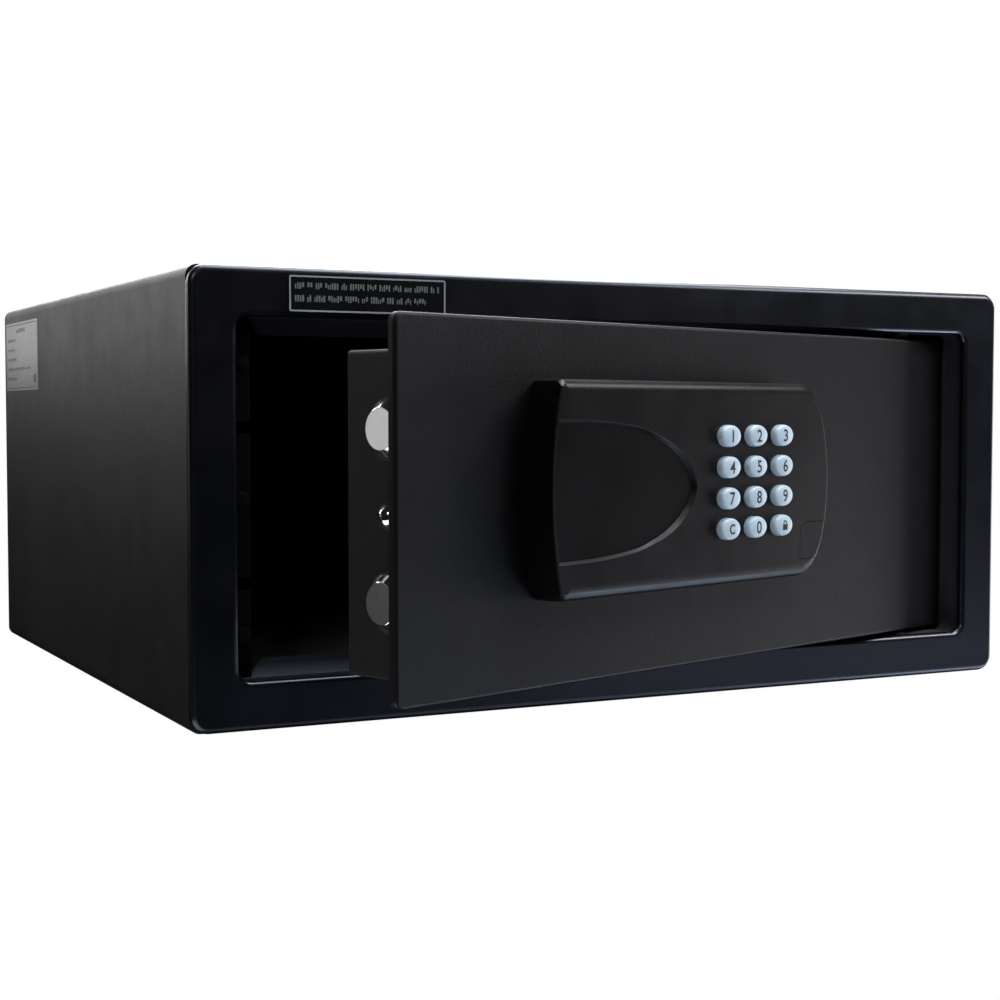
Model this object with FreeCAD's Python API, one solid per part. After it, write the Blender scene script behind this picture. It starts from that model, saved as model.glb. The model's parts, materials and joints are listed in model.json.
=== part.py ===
# Hotel in-room safe, laptop size: a folded steel body with a pressed front frame, a flush swing door that
# carries a motor-driven lock, and an electronic keypad on the door.
# Units are millimetres. The row frame has its origin at the centre of the base, +Z up, and the front faces -Y.
# Most sizes below are written in "shop" coordinates: x from the left side, y back from the front plane,
# z up from the base. place() moves them to the row frame. Door parts are drawn with the door shut, and
# place_door() then swings them to the rest pose, ajar.
import FreeCAD
import Part

import math
import os

V = FreeCAD.Vector

# ---------------------------------------------------------------- driving dimensions
W, D, H = 430.0, 380.0, 195.0          # outside of the body
T = 2.0                                # body sheet
FOLD_R = 5.0                           # long folds of the body wrap
FRAME_R = 8.0                          # corners of the front frame
FRAME_EDGE_R = 3.0                     # rounding of the frame's outer front edge
FRAME_DEPTH = 4.0                      # frame rim that stands proud of the wrap
BORDER = 21.0                          # frame border round the opening
OPEN_R = 5.5                           # corners of the opening
OPEN_EDGE_R = 2.5
RECESS = 15.0                          # depth of the recess flange
LIP_Z, LIP_Y = 7.3, 5.0                # sloping stop lip, rise and run
LIP_X0, LIP_X1 = 30.5, 335.0

DOOR_X0, DOOR_X1 = 23.3, 406.7
DOOR_Z0, DOOR_Z1 = 23.5, 171.0
DOOR_Y, DOOR_T = 4.0, 4.2              # front face and thickness of the door plate
DOOR_R, DOOR_EDGE_R = 4.0, 1.5
HINGE_X, HINGE_Y = 374.0, 10.9         # hinge axis
HINGE_PIN_R = 2.0
HINGE_BORE_R = 2.06
REST_DEG = 19.0                        # door ajar at rest

HOUS_X0, HOUS_X1 = 38.5, 345.0         # lock housing behind the door
HOUS_Z0, HOUS_Z1 = 31.0, 158.0
HOUS_Y1 = 48.1
HOUS_T = 1.5

BOLT_Y = 25.0
BOLT_Z = (127.6, 61.2)
BOLT_R = 11.0
BOLT_TIP_X = 34.3
BOLT_TRAVEL = 15.0
GUIDE_Z = 94.3
GUIDE_R = 4.7
BAR_X = 63.0                           # bolt bar, retracted
BAR_T = 3.0

PINION_N, PINION_M = 14, 1.0
PINION_X, PINION_Z = 112.0, 88.0
RACK_Y0, RACK_Y1 = 35.6, 41.6

PAD_T = 16.0                           # keypad housing, out from the door face
PAD_Z0, PAD_Z1 = 59.3, 147.0
KEY_X = (201.9, 221.3, 240.8)
KEY_Z = (123.8, 110.3, 96.9, 83.6)
KEY_RX, KEY_RZ = 7.0, 4.85
KEY_PROUD = 3.2
KEY_TRAVEL = 0.8

ANCHOR_X, ANCHOR_Y, ANCHOR_R = 300.0, 200.0, 5.0
REAR_ANCHOR_X = 200.0

os.makedirs("parts", exist_ok=True)
PY = DOOR_Y                            # front plane of the door plate
BK = DOOR_Y + DOOR_T                   # back plane of the door plate


# ---------------------------------------------------------------- helpers
def box(x0, x1, y0, y1, z0, z1):
    return Part.makeBox(x1 - x0, y1 - y0, z1 - z0, V(x0, y0, z0))


def cyl(p, d, r, h):
    return Part.makeCylinder(r, h, V(*p), V(*d))


def rr(x0, x1, z0, z1, r, y0, y1):
    """Rounded-rectangle prism along Y."""
    c = [(x1 - r, z0 + r, -90), (x1 - r, z1 - r, 0), (x0 + r, z1 - r, 90), (x0 + r, z0 + r, 180)]
    pts, edges = [], []
    for cx, cz, a in c:
        a0, am, a1 = (math.radians(a), math.radians(a + 45), math.radians(a + 90))
        pts.append([V(cx + r * math.cos(t), y0, cz + r * math.sin(t)) for t in (a0, am, a1)])
    for i in range(4):
        edges.append(Part.Arc(*pts[i]).toShape())
        q = pts[(i + 1) % 4][0]
        if (q - pts[i][2]).Length > 1e-6:
            edges.append(Part.LineSegment(pts[i][2], q).toShape())
    return Part.Face(Part.Wire(edges)).extrude(V(0, y1 - y0, 0))


def poly_x(yz, x0, x1):
    """Polygon in the YZ plane, extruded along X."""
    w = Part.makePolygon([V(x0, y, z) for y, z in yz] + [V(x0, *yz[0])])
    return Part.Face(w).extrude(V(x1 - x0, 0, 0))


def poly_y(xz, y0, y1):
    w = Part.makePolygon([V(x, y0, z) for x, z in xz] + [V(xz[0][0], y0, xz[0][1])])
    return Part.Face(w).extrude(V(0, y1 - y0, 0))


def poly_z(xy, z0, z1):
    w = Part.makePolygon([V(x, y, z0) for x, y in xy] + [V(xy[0][0], xy[0][1], z0)])
    return Part.Face(w).extrude(V(0, 0, z1 - z0))


def edges_where(shape, test):
    return [e for e in shape.Edges if test(e)]


def fillet(shape, r, test):
    es = edges_where(shape, test)
    return shape.makeFillet(r, es) if es else shape


def chamfer(shape, r, test):
    es = edges_where(shape, test)
    return shape.makeChamfer(r, es) if es else shape


def at_y(e, y, tol=1e-4):
    b = e.BoundBox
    return abs(b.YMin - y) < tol and abs(b.YMax - y) < tol


def at_x(e, x, tol=1e-4):
    b = e.BoundBox
    return abs(b.XMin - x) < tol and abs(b.XMax - x) < tol


def at_z(e, z, tol=1e-4):
    b = e.BoundBox
    return abs(b.ZMin - z) < tol and abs(b.ZMax - z) < tol


def mirror_z(shape, z=H / 2):
    return shape.mirror(V(0, 0, z), V(0, 0, 1))


def fuse(a, *b):
    return a.multiFuse(list(b)).removeSplitter() if b else a


def place(shape):
    s = shape.copy()
    s.translate(V(-W / 2, -D / 2, 0))
    return s


def place_door(shape):
    s = place(shape)
    s.rotate(V(HINGE_X - W / 2, HINGE_Y - D / 2, 0), V(0, 0, 1), REST_DEG)
    return s


def write(name, solids, mover):
    if not isinstance(solids, (list, tuple)):
        solids = [solids]
    out = []
    for s in solids:
        out += [mover(x) for x in s.Solids]
    for s in out:
        if not s.isValid() or s.Volume <= 0:
            print("BAD SOLID", name, s.isValid(), s.Volume)
    shape = out[0] if len(out) == 1 else Part.makeCompound(out)
    shape.exportStep("parts/%s.step" % name)
    b = shape.BoundBox
    print("%-20s %2d solid  %9.1f mm3   x %.1f..%.1f  y %.1f..%.1f  z %.1f..%.1f" % (
        name, len(out), sum(s.Volume for s in out), b.XMin, b.XMax, b.YMin, b.YMax, b.ZMin, b.ZMax))


def pan_screw(p, d, shank_r, shank_l, head_r, head_h, cross=True):
    """Pan-head screw: p under the head, d points from the head into the work."""
    px, dx = V(*p), V(*d)
    shank = Part.makeCylinder(shank_r, shank_l, px, dx)
    head = Part.makeCylinder(head_r, head_h, px, dx * -1)
    top = px + dx * -head_h
    head = fillet(head, head_h * 0.55, lambda e: (e.CenterOfMass - top).Length < 1e-3 and len(e.Vertexes) == 1)
    s = fuse(head, shank)
    if cross:
        u = V(0, 0, 1) if abs(dx.z) < 0.5 else V(1, 0, 0)
        w = dx.cross(u)
        for a, b in ((u, w), (w, u)):
            m = Part.makeBox(head_r * 1.1, head_r * 0.28, head_h * 0.6)
            m.translate(V(-head_r * 0.55, -head_r * 0.14, 0))
            pl = FreeCAD.Placement(FreeCAD.Matrix(a.x, b.x, -dx.x, top.x + dx.x * head_h * 0.5,
                                                  a.y, b.y, -dx.y, top.y + dx.y * head_h * 0.5,
                                                  a.z, b.z, -dx.z, top.z + dx.z * head_h * 0.5, 0, 0, 0, 1))
            m = m.transformGeometry(pl.toMatrix())
            s = s.cut(m)
    return s


# ---------------------------------------------------------------- body
wrap = rr(0, W, 0, H, FOLD_R, FRAME_DEPTH + 0.15, D - T).cut(
    rr(T, W - T, T, H - T, FOLD_R - T, 0, D))
for sx in (-1, 1):
    for sy in (-1, 1):
        wrap = wrap.cut(cyl((W / 2 + sx * ANCHOR_X / 2, D / 2 + sy * ANCHOR_Y / 2, -1), (0, 0, 1), ANCHOR_R, 4))
write("body_wrap", wrap, place)

rear = rr(0, W, 0, H, FOLD_R, D - T, D)
rear = fillet(rear, 0.8, lambda e: at_y(e, D))
flange = rr(T + 0.1, W - T - 0.1, T + 0.1, H - T - 0.1, 3.4, D - T - 14, D - T).cut(
    rr(T + 1.7, W - T - 1.7, T + 1.7, H - T - 1.7, 1.8, D - T - 20, D))
rear = fuse(rear, flange)
for sx in (-1, 1):
    rear = rear.cut(cyl((W / 2 + sx * REAR_ANCHOR_X / 2, D - 10, H / 2), (0, 1, 0), ANCHOR_R, 20))
write("rear_panel", rear, place)

B = BORDER
tray = rr(0, W, 0, H, FRAME_R, 0, FRAME_DEPTH)
tray = fillet(tray, FRAME_EDGE_R, lambda e: at_y(e, 0))
tray = tray.cut(rr(T, W - T, T, H - T, FRAME_R - T, T, D))
tuck = rr(T + 0.1, W - T - 0.1, T + 0.1, H - T - 0.1, FRAME_R - T - 0.1, 1.5, 18).cut(
    rr(T + 1.7, W - T - 1.7, T + 1.7, H - T - 1.7, FRAME_R - T - 1.7, 0, 20))
flg = rr(B - T, W - B + T, B - T, H - B + T, OPEN_R + T, 0.8, RECESS)
frame = fuse(tray, tuck, flg).cut(rr(B, W - B, B, H - B, OPEN_R, -1, RECESS + 1))
frame = fillet(frame, OPEN_EDGE_R, lambda e: at_y(e, 0) and B - 1 < e.CenterOfMass.x < W - B + 1
               and B - 1 < e.CenterOfMass.z < H - B + 1)
LIP_ROOT_R = 2.2                       # rolled root where the stop lip leaves the recess floor
la = math.atan2(LIP_Z, LIP_Y)
lt = LIP_ROOT_R * math.tan(la / 2)
lp = [(RECESS - lt, B - T), (RECESS - lt, B),
      (RECESS - lt + LIP_ROOT_R * math.sin(la / 2), B + LIP_ROOT_R * (1 - math.cos(la / 2))),
      (RECESS + lt * math.cos(la), B + lt * math.sin(la)), (RECESS + LIP_Y, B + LIP_Z),
      (RECESS + LIP_Y + T * math.sin(la), B + LIP_Z - T * math.cos(la)), (RECESS + 1.05, B - T)]
lv = [V(LIP_X0, y, z) for y, z in lp]
lip = Part.Face(Part.Wire([Part.LineSegment(lv[0], lv[1]).toShape(), Part.Arc(lv[1], lv[2], lv[3]).toShape(),
                           Part.LineSegment(lv[3], lv[4]).toShape(), Part.LineSegment(lv[4], lv[5]).toShape(),
                           Part.LineSegment(lv[5], lv[6]).toShape(), Part.LineSegment(lv[6], lv[0]).toShape()])
                ).extrude(V(LIP_X1 - LIP_X0, 0, 0))
lip = fillet(lip, 0.7, lambda e: abs(e.CenterOfMass.y - (RECESS + LIP_Y)) < 0.01 and abs(e.CenterOfMass.z - (B + LIP_Z)) < 0.01)
for xa, sgn in ((LIP_X0, 1), (LIP_X1, -1)):
    wedge = poly_y([(xa - sgn * 5, B + 0.02), (xa, B + 0.02), (xa + sgn * 9, B + 9.02), (xa - sgn * 5, B + 9.02)], 0, 40)
    lip = lip.cut(wedge)
frame = fuse(frame, lip, mirror_z(lip))
for z0, z1 in ((B - T - 1, B + 1), (H - B - 1, H - B + T + 1)):
    frame = frame.cut(cyl((HINGE_X, HINGE_Y, z0), (0, 0, 1), HINGE_PIN_R, z1 - z0))
write("front_frame", frame, place)

# strike channel: closes the left jamb, its inner wall takes the bolts
st = box(B, 30.5, 13, 15, B, H - B)
st = fillet(st, 0.6, lambda e: at_y(e, 13) and at_x(e, 30.5))
st = fuse(st, box(28.5, 30.5, 13.6, 50, B, H - B))
st = st.common(fuse(rr(B + 0.05, W - B, B + 0.05, H - B - 0.05, OPEN_R, 0, RECESS + 0.1), box(0, 60, RECESS + 0.1, 60, 0, H)))
st = fuse(st, box(28.5, 30.5, RECESS + 0.1, 50, T + 3.2, H - T - 3.2), box(T, 29, 48, 50, T + 3.2, H - T - 3.2))
for z in BOLT_Z:
    st = st.cut(cyl((20, BOLT_Y, z), (1, 0, 0), 12.25, 20))
st = st.cut(cyl((20, BOLT_Y, GUIDE_Z), (1, 0, 0), 5.5, 20))
write("strike_channel", st, place)

jamb = fuse(box(409, 410.5, RECESS, 52, T + 3.2, H - T - 3.2), box(410, W - T, 50.5, 52, T + 3.2, H - T - 3.2))
write("hinge_jamb", jamb, place)

# rubber buffers on the strike channel face that the shut door lands on
buf = []
for z in (40, 97.5, 155):
    b = cyl((25.6, 13, z), (0, -1, 0), 3.2, 4.3)
    buf.append(fillet(b, 1.2, lambda e: at_y(e, 13 - 4.3)))
write("door_buffers", buf, place)

# hinge: blocks welded to the recess flange, pins pressed through them, nylon washers
blk, pins, wash, lugs = [], [], [], []
for top in (False, True):
    b = box(HINGE_X - 11, HINGE_X + 11, 4.5, 17.5, B - T - 7, B - T)
    b = chamfer(b, 1.0, lambda e: e.BoundBox.ZLength > 6)
    b = b.cut(cyl((HINGE_X, HINGE_Y, B - T - 8), (0, 0, 1), HINGE_PIN_R, 20))
    p = cyl((HINGE_X, HINGE_Y, B - T - 7), (0, 0, 1), HINGE_PIN_R, 30)
    p = chamfer(p, 0.5, lambda e: at_z(e, B - T + 23))
    w = cyl((HINGE_X, HINGE_Y, B), (0, 0, 1), 5.0, 0.8).cut(cyl((HINGE_X, HINGE_Y, B - 1), (0, 0, 1), HINGE_PIN_R, 4))
    # door lug: half-round block welded to the back of the door plate
    g = fuse(cyl((HINGE_X, HINGE_Y, B + 1.1), (0, 0, 1), 6.2, 18), box(HINGE_X - 6.2, HINGE_X + 6.2, BK, HINGE_Y, B + 1.1, B + 19.1))
    g = g.cut(box(HINGE_X - 9, HINGE_X + 9, 0, BK, 0, 60))
    g = g.cut(cyl((HINGE_X, HINGE_Y, B), (0, 0, 1), HINGE_BORE_R, 30))
    f = mirror_z if top else (lambda s: s)
    blk.append(f(b)); pins.append(f(p)); wash.append(f(w)); lugs.append(f(g))
write("hinge_blocks", blk, place)
write("hinge_pins", pins, place)
write("hinge_washers", wash, place)

mat = box(5.6, W - 5.6, 53, 362, T, T + 3)
mat = fillet(mat, 6, lambda e: e.BoundBox.ZLength > 2.9)
mat = fillet(mat, 0.8, lambda e: at_z(e, T + 3))
for sx in (-1, 1):
    for sy in (-1, 1):
        mat = mat.cut(cyl((W / 2 + sx * ANCHOR_X / 2, D / 2 + sy * ANCHOR_Y / 2, 0), (0, 0, 1), 13, 8))
write("floor_mat", mat, place)

plate = rr(43.45, 115.65, 176.3, 191.6, 0.8, -0.35, 0)
write("instruction_plate", plate, place)
lab = Part.makeBox(0.15, 87.0, 39.4, V(-0.15, 287.5, 147.0))
lab = fillet(lab, 2.0, lambda e: abs(e.BoundBox.XLength - 0.15) < 1e-6)
write("rating_label", lab, place)

# ---------------------------------------------------------------- door plate and lock housing
door = rr(DOOR_X0, DOOR_X1, DOOR_Z0, DOOR_Z1, DOOR_R, PY, BK)
door = fillet(door, DOOR_EDGE_R, lambda e: at_y(e, PY))
door = chamfer(door, 0.3, lambda e: at_y(e, BK))
PAD_SCREWS = [(118, 65.5), (118, 138), (254, 138), (248, 66)]
SLOT = (160, 184, 66, 72)                      # wiring slot behind the keypad
door = door.cut(rr(SLOT[0], SLOT[1], SLOT[2], SLOT[3], 2.5, 0, 20))
for x, z in PAD_SCREWS:
    door = door.cut(cyl((x, 0, z), (0, 1, 0), 1.75, 20))
write("door_plate", door, place_door)
write("hinge_lugs", lugs, place_door)

hous = rr(HOUS_X0, HOUS_X1, HOUS_Z0, HOUS_Z1, 2.0, BK, HOUS_Y1).cut(
    rr(HOUS_X0 + HOUS_T, HOUS_X1 - HOUS_T, HOUS_Z0 + HOUS_T, HOUS_Z1 - HOUS_T, 0.6, 0, 60))
lipring = rr(HOUS_X0 + 1, HOUS_X1 - 1, HOUS_Z0 + 1, HOUS_Z1 - 1, 1.0, HOUS_Y1 - 3, HOUS_Y1 - 1.5).cut(
    rr(HOUS_X0 + 9, HOUS_X1 - 9, HOUS_Z0 + 9, HOUS_Z1 - 9, 1.0, 0, 60))
hous = fuse(hous, lipring)
for z in BOLT_Z:
    hous = hous.cut(cyl((HOUS_X0 - 5, BOLT_Y, z), (1, 0, 0), 12.0, 8))
hous = hous.cut(cyl((HOUS_X0 - 5, BOLT_Y, GUIDE_Z), (1, 0, 0), 5.6, 8))
COVER_SCREWS = [(44.5, 37), (44.5, 152), (191.75, 35.5), (191.75, 153.5), (339, 37), (339, 152)]
for x, z in COVER_SCREWS:
    hous = hous.cut(cyl((x, 40, z), (0, 1, 0), 1.6, 10))
write("lock_housing", hous, place_door)

# battery bay at the right of the housing, seen through an opening in the rear cover
BAY = (226.0, 306.0, 60.0, 129.0)
cover = rr(HOUS_X0 + HOUS_T + 0.1, HOUS_X1 - HOUS_T - 0.1, HOUS_Z0 + HOUS_T + 0.1, HOUS_Z1 - HOUS_T - 0.1, 0.6,
           HOUS_Y1 - 1.5, HOUS_Y1)
cover = cover.cut(rr(BAY[0] - 1.0, BAY[1] + 1.0, BAY[2] - 1.0, BAY[3] + 1.0, 2.5, 0, 60))
for x, z in COVER_SCREWS:
    cover = cover.cut(cyl((x, 40, z), (0, 1, 0), 2.1, 20))
write("rear_cover", cover, place_door)
write("cover_screws", [pan_screw((x, HOUS_Y1, z), (0, -1, 0), 1.55, 5.5, 3.4, 2.0) for x, z in COVER_SCREWS], place_door)

bush = []
for z in BOLT_Z:
    b = fuse(cyl((HOUS_X0, BOLT_Y, z), (1, 0, 0), 12.0, 8.0), cyl((HOUS_X0 + HOUS_T, BOLT_Y, z), (1, 0, 0), 14.5, 2.0))
    bush.append(b.cut(cyl((0, BOLT_Y, z), (1, 0, 0), BOLT_R + 0.06, 80)))
b = fuse(cyl((HOUS_X0, BOLT_Y, GUIDE_Z), (1, 0, 0), 5.6, 7.0), cyl((HOUS_X0 + HOUS_T, BOLT_Y, GUIDE_Z), (1, 0, 0), 8.0, 2.0))
bush.append(b.cut(cyl((0, BOLT_Y, GUIDE_Z), (1, 0, 0), GUIDE_R + 0.06, 80)))
write("bolt_bushes", bush, place_door)

# ---------------------------------------------------------------- bolt carriage
bolts = []
for z in BOLT_Z:
    b = cyl((BOLT_TIP_X, BOLT_Y, z), (1, 0, 0), BOLT_R, BAR_X - BOLT_TIP_X)
    b = b.makeChamfer(3.0, 2.75, edges_where(b, lambda e: at_x(e, BOLT_TIP_X)))
    bolts.append(fillet(b, 0.5, lambda e: at_x(e, BOLT_TIP_X) or at_x(e, BOLT_TIP_X + 3.0) or at_x(e, BOLT_TIP_X + 2.75)))

gc = BOLT_TIP_X + 5.0                   # domed guide pin, turned in one piece, drilled for its screw
gk = math.sqrt(0.5) * GUIDE_R
gv = [V(gc - GUIDE_R, BOLT_Y, GUIDE_Z), V(gc - gk, BOLT_Y + gk, GUIDE_Z), V(gc, BOLT_Y + GUIDE_R, GUIDE_Z),
      V(BAR_X, BOLT_Y + GUIDE_R, GUIDE_Z), V(BAR_X, BOLT_Y + 2.0, GUIDE_Z), V(BAR_X - 7.5, BOLT_Y + 2.0, GUIDE_Z),
      V(BAR_X - 7.5, BOLT_Y, GUIDE_Z)]
gw = [Part.Arc(gv[0], gv[1], gv[2]).toShape()] + [Part.LineSegment(gv[i], gv[i + 1]).toShape() for i in (2, 3, 4, 5)]
gw.append(Part.LineSegment(gv[6], gv[0]).toShape())
guide = Part.Face(Part.Wire(gw)).revolve(V(0, BOLT_Y, GUIDE_Z), V(1, 0, 0), 360)

bar = box(BAR_X, BAR_X + BAR_T, 15.5, 42.4, 47, 142)
bar = fillet(bar, 3.0, lambda e: e.BoundBox.XLength > 2.9)
for z in BOLT_Z:
    bar = bar.cut(cyl((BAR_X - 1, BOLT_Y, z), (1, 0, 0), 3.1, 6))
bar = bar.cut(cyl((BAR_X - 1, BOLT_Y, GUIDE_Z), (1, 0, 0), 2.1, 6))
write("bolt_bar", bar, place_door)

RP = PINION_Z + PINION_N * PINION_M / 2.0          # rack pitch line, above the pinion
rx0, rx1 = BAR_X + BAR_T, 139.0
pts = [(rx0, RP + 7.0), (rx0, RP + 1.25 * PINION_M)]
pitch = math.pi * PINION_M
k0 = int(math.ceil((102.0 - PINION_X) / pitch)) - 1
xs = PINION_X + k0 * pitch
while xs + pitch / 2 < rx1 - 1:
    # a rack tooth is centred half a pitch from the pinion's own tooth line
    c = xs + pitch / 2
    for dx, dz in ((-pitch / 4 - 0.34, 1.25), (-pitch / 4 + 0.46, -0.95), (pitch / 4 - 0.46, -0.95), (pitch / 4 + 0.34, 1.25)):
        pts.append((c + dx, RP + dz * PINION_M))
    xs += pitch
pts += [(rx1, RP + 1.25 * PINION_M), (rx1, RP + 7.0)]
clean = [pts[0]]
for p in pts[1:]:
    if math.hypot(p[0] - clean[-1][0], p[1] - clean[-1][1]) > 1e-4:
        clean.append(p)
rack = poly_y(clean, RACK_Y0, RACK_Y1)
write("drive_rack", rack, place_door)
# the carriage screws run inside drilled ends of the bolts
bolts = [b.cut(cyl((BAR_X - 12.5, BOLT_Y, z), (1, 0, 0), 3.0, 20)) for b, z in zip(bolts, BOLT_Z)]
write("locking_bolts", bolts, place_door)
scr = [pan_screw((BAR_X + BAR_T, BOLT_Y, z), (-1, 0, 0), 3.0, 15.0, 5.0, 3.6) for z in BOLT_Z]
scr.append(pan_screw((BAR_X + BAR_T, BOLT_Y, GUIDE_Z), (-1, 0, 0), 2.0, 10.0, 3.6, 2.4))
write("guide_pin", guide, place_door)
write("carriage_screws", scr, place_door)

# ---------------------------------------------------------------- gearmotor and pinion
def gear(n, m, y0, y1, cx, cz, phase):
    rp, ra, rf = n * m / 2.0, n * m / 2.0 + m, n * m / 2.0 - 1.25 * m
    pts = []
    for i in range(n):
        a = phase + 2 * math.pi * i / n
        half = math.pi / (2 * n) - 0.05 / rp
        for r, da in ((rf, -half * 1.62), (rp, -half), (rp + 0.55 * m, -half * 0.72), (ra, -half * 0.42),
                      (ra, half * 0.42), (rp + 0.55 * m, half * 0.72), (rp, half), (rf, half * 1.62)):
            pts.append((cx + r * math.cos(a + da), cz + r * math.sin(a + da)))
    return poly_y(pts, y0, y1)


pin = gear(PINION_N, PINION_M, RACK_Y0, RACK_Y1, PINION_X, PINION_Z, math.pi / 2)
pin = fuse(pin, cyl((PINION_X, RACK_Y1, PINION_Z), (0, 1, 0), 4.6, 2.0))
pin = pin.cut(cyl((PINION_X, 0, PINION_Z), (0, 1, 0), 3.0, 60))
write("drive_pinion", pin, place_door)
shaft = cyl((PINION_X, 28.0, PINION_Z), (0, 1, 0), 3.0, 16.4)
shaft = chamfer(shaft, 0.4, lambda e: at_y(e, 44.4))
write("output_shaft", shaft, place_door)

gx0, gx1, gz0, gz1 = 97.0, 143.0, 72.0, 104.0
gbox = rr(gx0, gx1, gz0, gz1, 3.0, BK + 1.0 + 0.5, 33.2)
gbox = fillet(gbox, 0.8, lambda e: at_y(e, 33.2) or at_y(e, BK + 1.5))
gbox = fuse(gbox, cyl((PINION_X, 33.0, PINION_Z), (0, 1, 0), 5.5, 0.9))
gbox = gbox.cut(cyl((PINION_X, 27.9, PINION_Z), (0, 1, 0), 3.05, 30))
mot = cyl((gx1, 21.5, 88), (1, 0, 0), 11.5, 1.5).fuse(cyl((gx1 + 1.5, 21.5, 88), (1, 0, 0), 11.7, 29.0))
mot = fuse(mot, cyl((gx1 + 30.5, 21.5, 88), (1, 0, 0), 4.0, 2.0))
mot = fillet(mot, 1.2, lambda e: at_x(e, gx1 + 30.5) and e.BoundBox.ZLength > 20)
write("motor", mot, place_door)
brk = fuse(box(gx0 - 12, gx1 + 2, BK, BK + 1.5, 69, 107),
           box(gx0 - 1.6, gx0 - 0.1, BK, 27, 76, 100))
brk = fillet(brk, 4, lambda e: abs(e.BoundBox.YLength - 1.5) < 1e-4 and e.CenterOfMass.x > gx1)
write("motor_bracket", brk, place_door)
write("motor_screws", [pan_screw((x, 33.2, z), (0, -1, 0), 1.5, 8, 2.8, 1.8) for x, z in
                       ((101.5, 76.5), (101.5, 99.5), (138.5, 76.5), (138.5, 99.5))], place_door)
gbox = gbox.cut(cyl((101.5, 25.2, 76.5), (0, 1, 0), 1.5, 20)).cut(cyl((101.5, 25.2, 99.5), (0, 1, 0), 1.5, 20)) \
           .cut(cyl((138.5, 25.2, 76.5), (0, 1, 0), 1.5, 20)).cut(cyl((138.5, 25.2, 99.5), (0, 1, 0), 1.5, 20))
write("gearbox", gbox, place_door)

# guide for the rack's back and top, on a post from the door plate
gd = []
gp = box(146.0, 150.0, BK, 44.6, 104.8, 112.0)
gp = fuse(gp, box(120.0, 150.0, 35.0, 44.6, RP + 7.4, RP + 11.0), box(120.0, 150.0, RACK_Y1 + 0.4, 44.6, RP + 2.0, RP + 8.0))
gd.append(gp)
write("rack_guide", gd, place_door)

# limit switches that read the bar at each end of its travel
sw = []
sw.append(fuse(box(68.0, 74.4, 18, 31, 112, 120), box(66.8, 68.2, 22, 27, 115, 117)))
sw.append(fuse(box(68.0, 74.4, 18, 31, 68.5, 76.5), box(66.8, 68.2, 22, 27, 71.5, 73.5)))
write("limit_switches", sw, place_door)
brs = [box(68.0, 76.4, BK, 18, 112, 120), box(68.0, 76.4, BK, 18, 68.5, 76.5)]
write("switch_posts", brs, place_door)

# ---------------------------------------------------------------- electronics and batteries
pcb = box(186, 218, 14.0, 15.6, 42, 146)
for x, z in ((190, 46), (214, 46), (190, 142), (214, 142)):
    pcb = pcb.cut(cyl((x, 0, z), (0, 1, 0), 1.6, 30))
chips = [box(194, 206, 15.6, 17.2, 90, 102), box(192, 196, 15.6, 20.0, 60, 78), box(204, 213, 15.6, 23.0, 58, 70),
         cyl((210, 15.6, 118), (0, 1, 0), 4.0, 9), cyl((199, 15.6, 118), (0, 1, 0), 4.0, 9), box(190, 198, 15.6, 21, 130, 137)]
write("control_board", fuse(pcb, *chips), place_door)
write("board_standoffs", [cyl((x, BK, z), (0, 1, 0), 2.8, 14.0 - BK) for x, z in ((190, 46), (214, 46), (190, 142), (214, 142))], place_door)

tray = rr(BAY[0], BAY[1], BAY[2], BAY[3], 2.0, 12.0, 44.0).cut(rr(BAY[0] + 1.6, BAY[1] - 1.6, BAY[2] + 1.6, BAY[3] - 1.6, 0.8, 26.0, 60))
for z in (77.2, 94.5, 111.8):
    tray = fuse(tray, box(BAY[0] + 1, BAY[1] - 1, 25, 34, z - 0.6, z + 0.6))
write("battery_tray", tray, place_door)
bat, con = [], []
for i, z in enumerate((68.8, 85.85, 103.15, 120.2)):
    x0 = 238.0
    flip = i % 2
    c = cyl((x0 + (1.2 if flip else 0), 33.6, z), (1, 0, 0), 7.1, 49.2)
    c = fillet(c, 0.6, lambda e: len(e.Vertexes) == 1 and e.BoundBox.XLength < 1e-6)
    nub = cyl((x0 + 1.2 - 1.2, 33.6, z), (1, 0, 0), 2.7, 1.4) if flip else cyl((x0 + 49.0, 33.6, z), (1, 0, 0), 2.7, 1.4)
    bat.append(fuse(c, nub))
    con.append(box(BAY[0] + 1.6, BAY[0] + 2.1, 28.5, 39.5, z - 4.5, z + 4.5))
    con.append(box(BAY[1] - 2.1, BAY[1] - 1.6, 28.5, 39.5, z - 4.5, z + 4.5))
    con.append(Part.makeCone(4.4, 2.4, x0 - (BAY[0] + 2.1) - 0.05, V(BAY[0] + 2.1, 33.6, z), V(1, 0, 0)))
    con.append(Part.makeCone(2.2, 4.4, BAY[1] - 2.1 - (x0 + 50.45), V(x0 + 50.45, 33.6, z), V(1, 0, 0)))
write("batteries", bat, place_door)
write("battery_contacts", con, place_door)
bc = rr(BAY[0] - 0.6, BAY[1] + 0.6, BAY[2] - 0.6, BAY[3] + 0.6, 2.2, HOUS_Y1 - 1.5, HOUS_Y1 + 0.4)
bc = fillet(bc, 0.5, lambda e: at_y(e, HOUS_Y1 + 0.4))
for k in range(5):
    bc = bc.cut(cyl((292.0 + 2.2 * k, HOUS_Y1 + 0.7, 84.5), (0, 0, 1), 0.8, 20))
write("battery_cover", bc, place_door)

# ---------------------------------------------------------------- keypad on the door face
ZC = (PAD_Z0 + PAD_Z1) / 2.0


def arc3(a, b, c):
    return Part.Arc(V(a[0], 0, a[1]), V(b[0], 0, b[1]), V(c[0], 0, c[1])).toShape()


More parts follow.
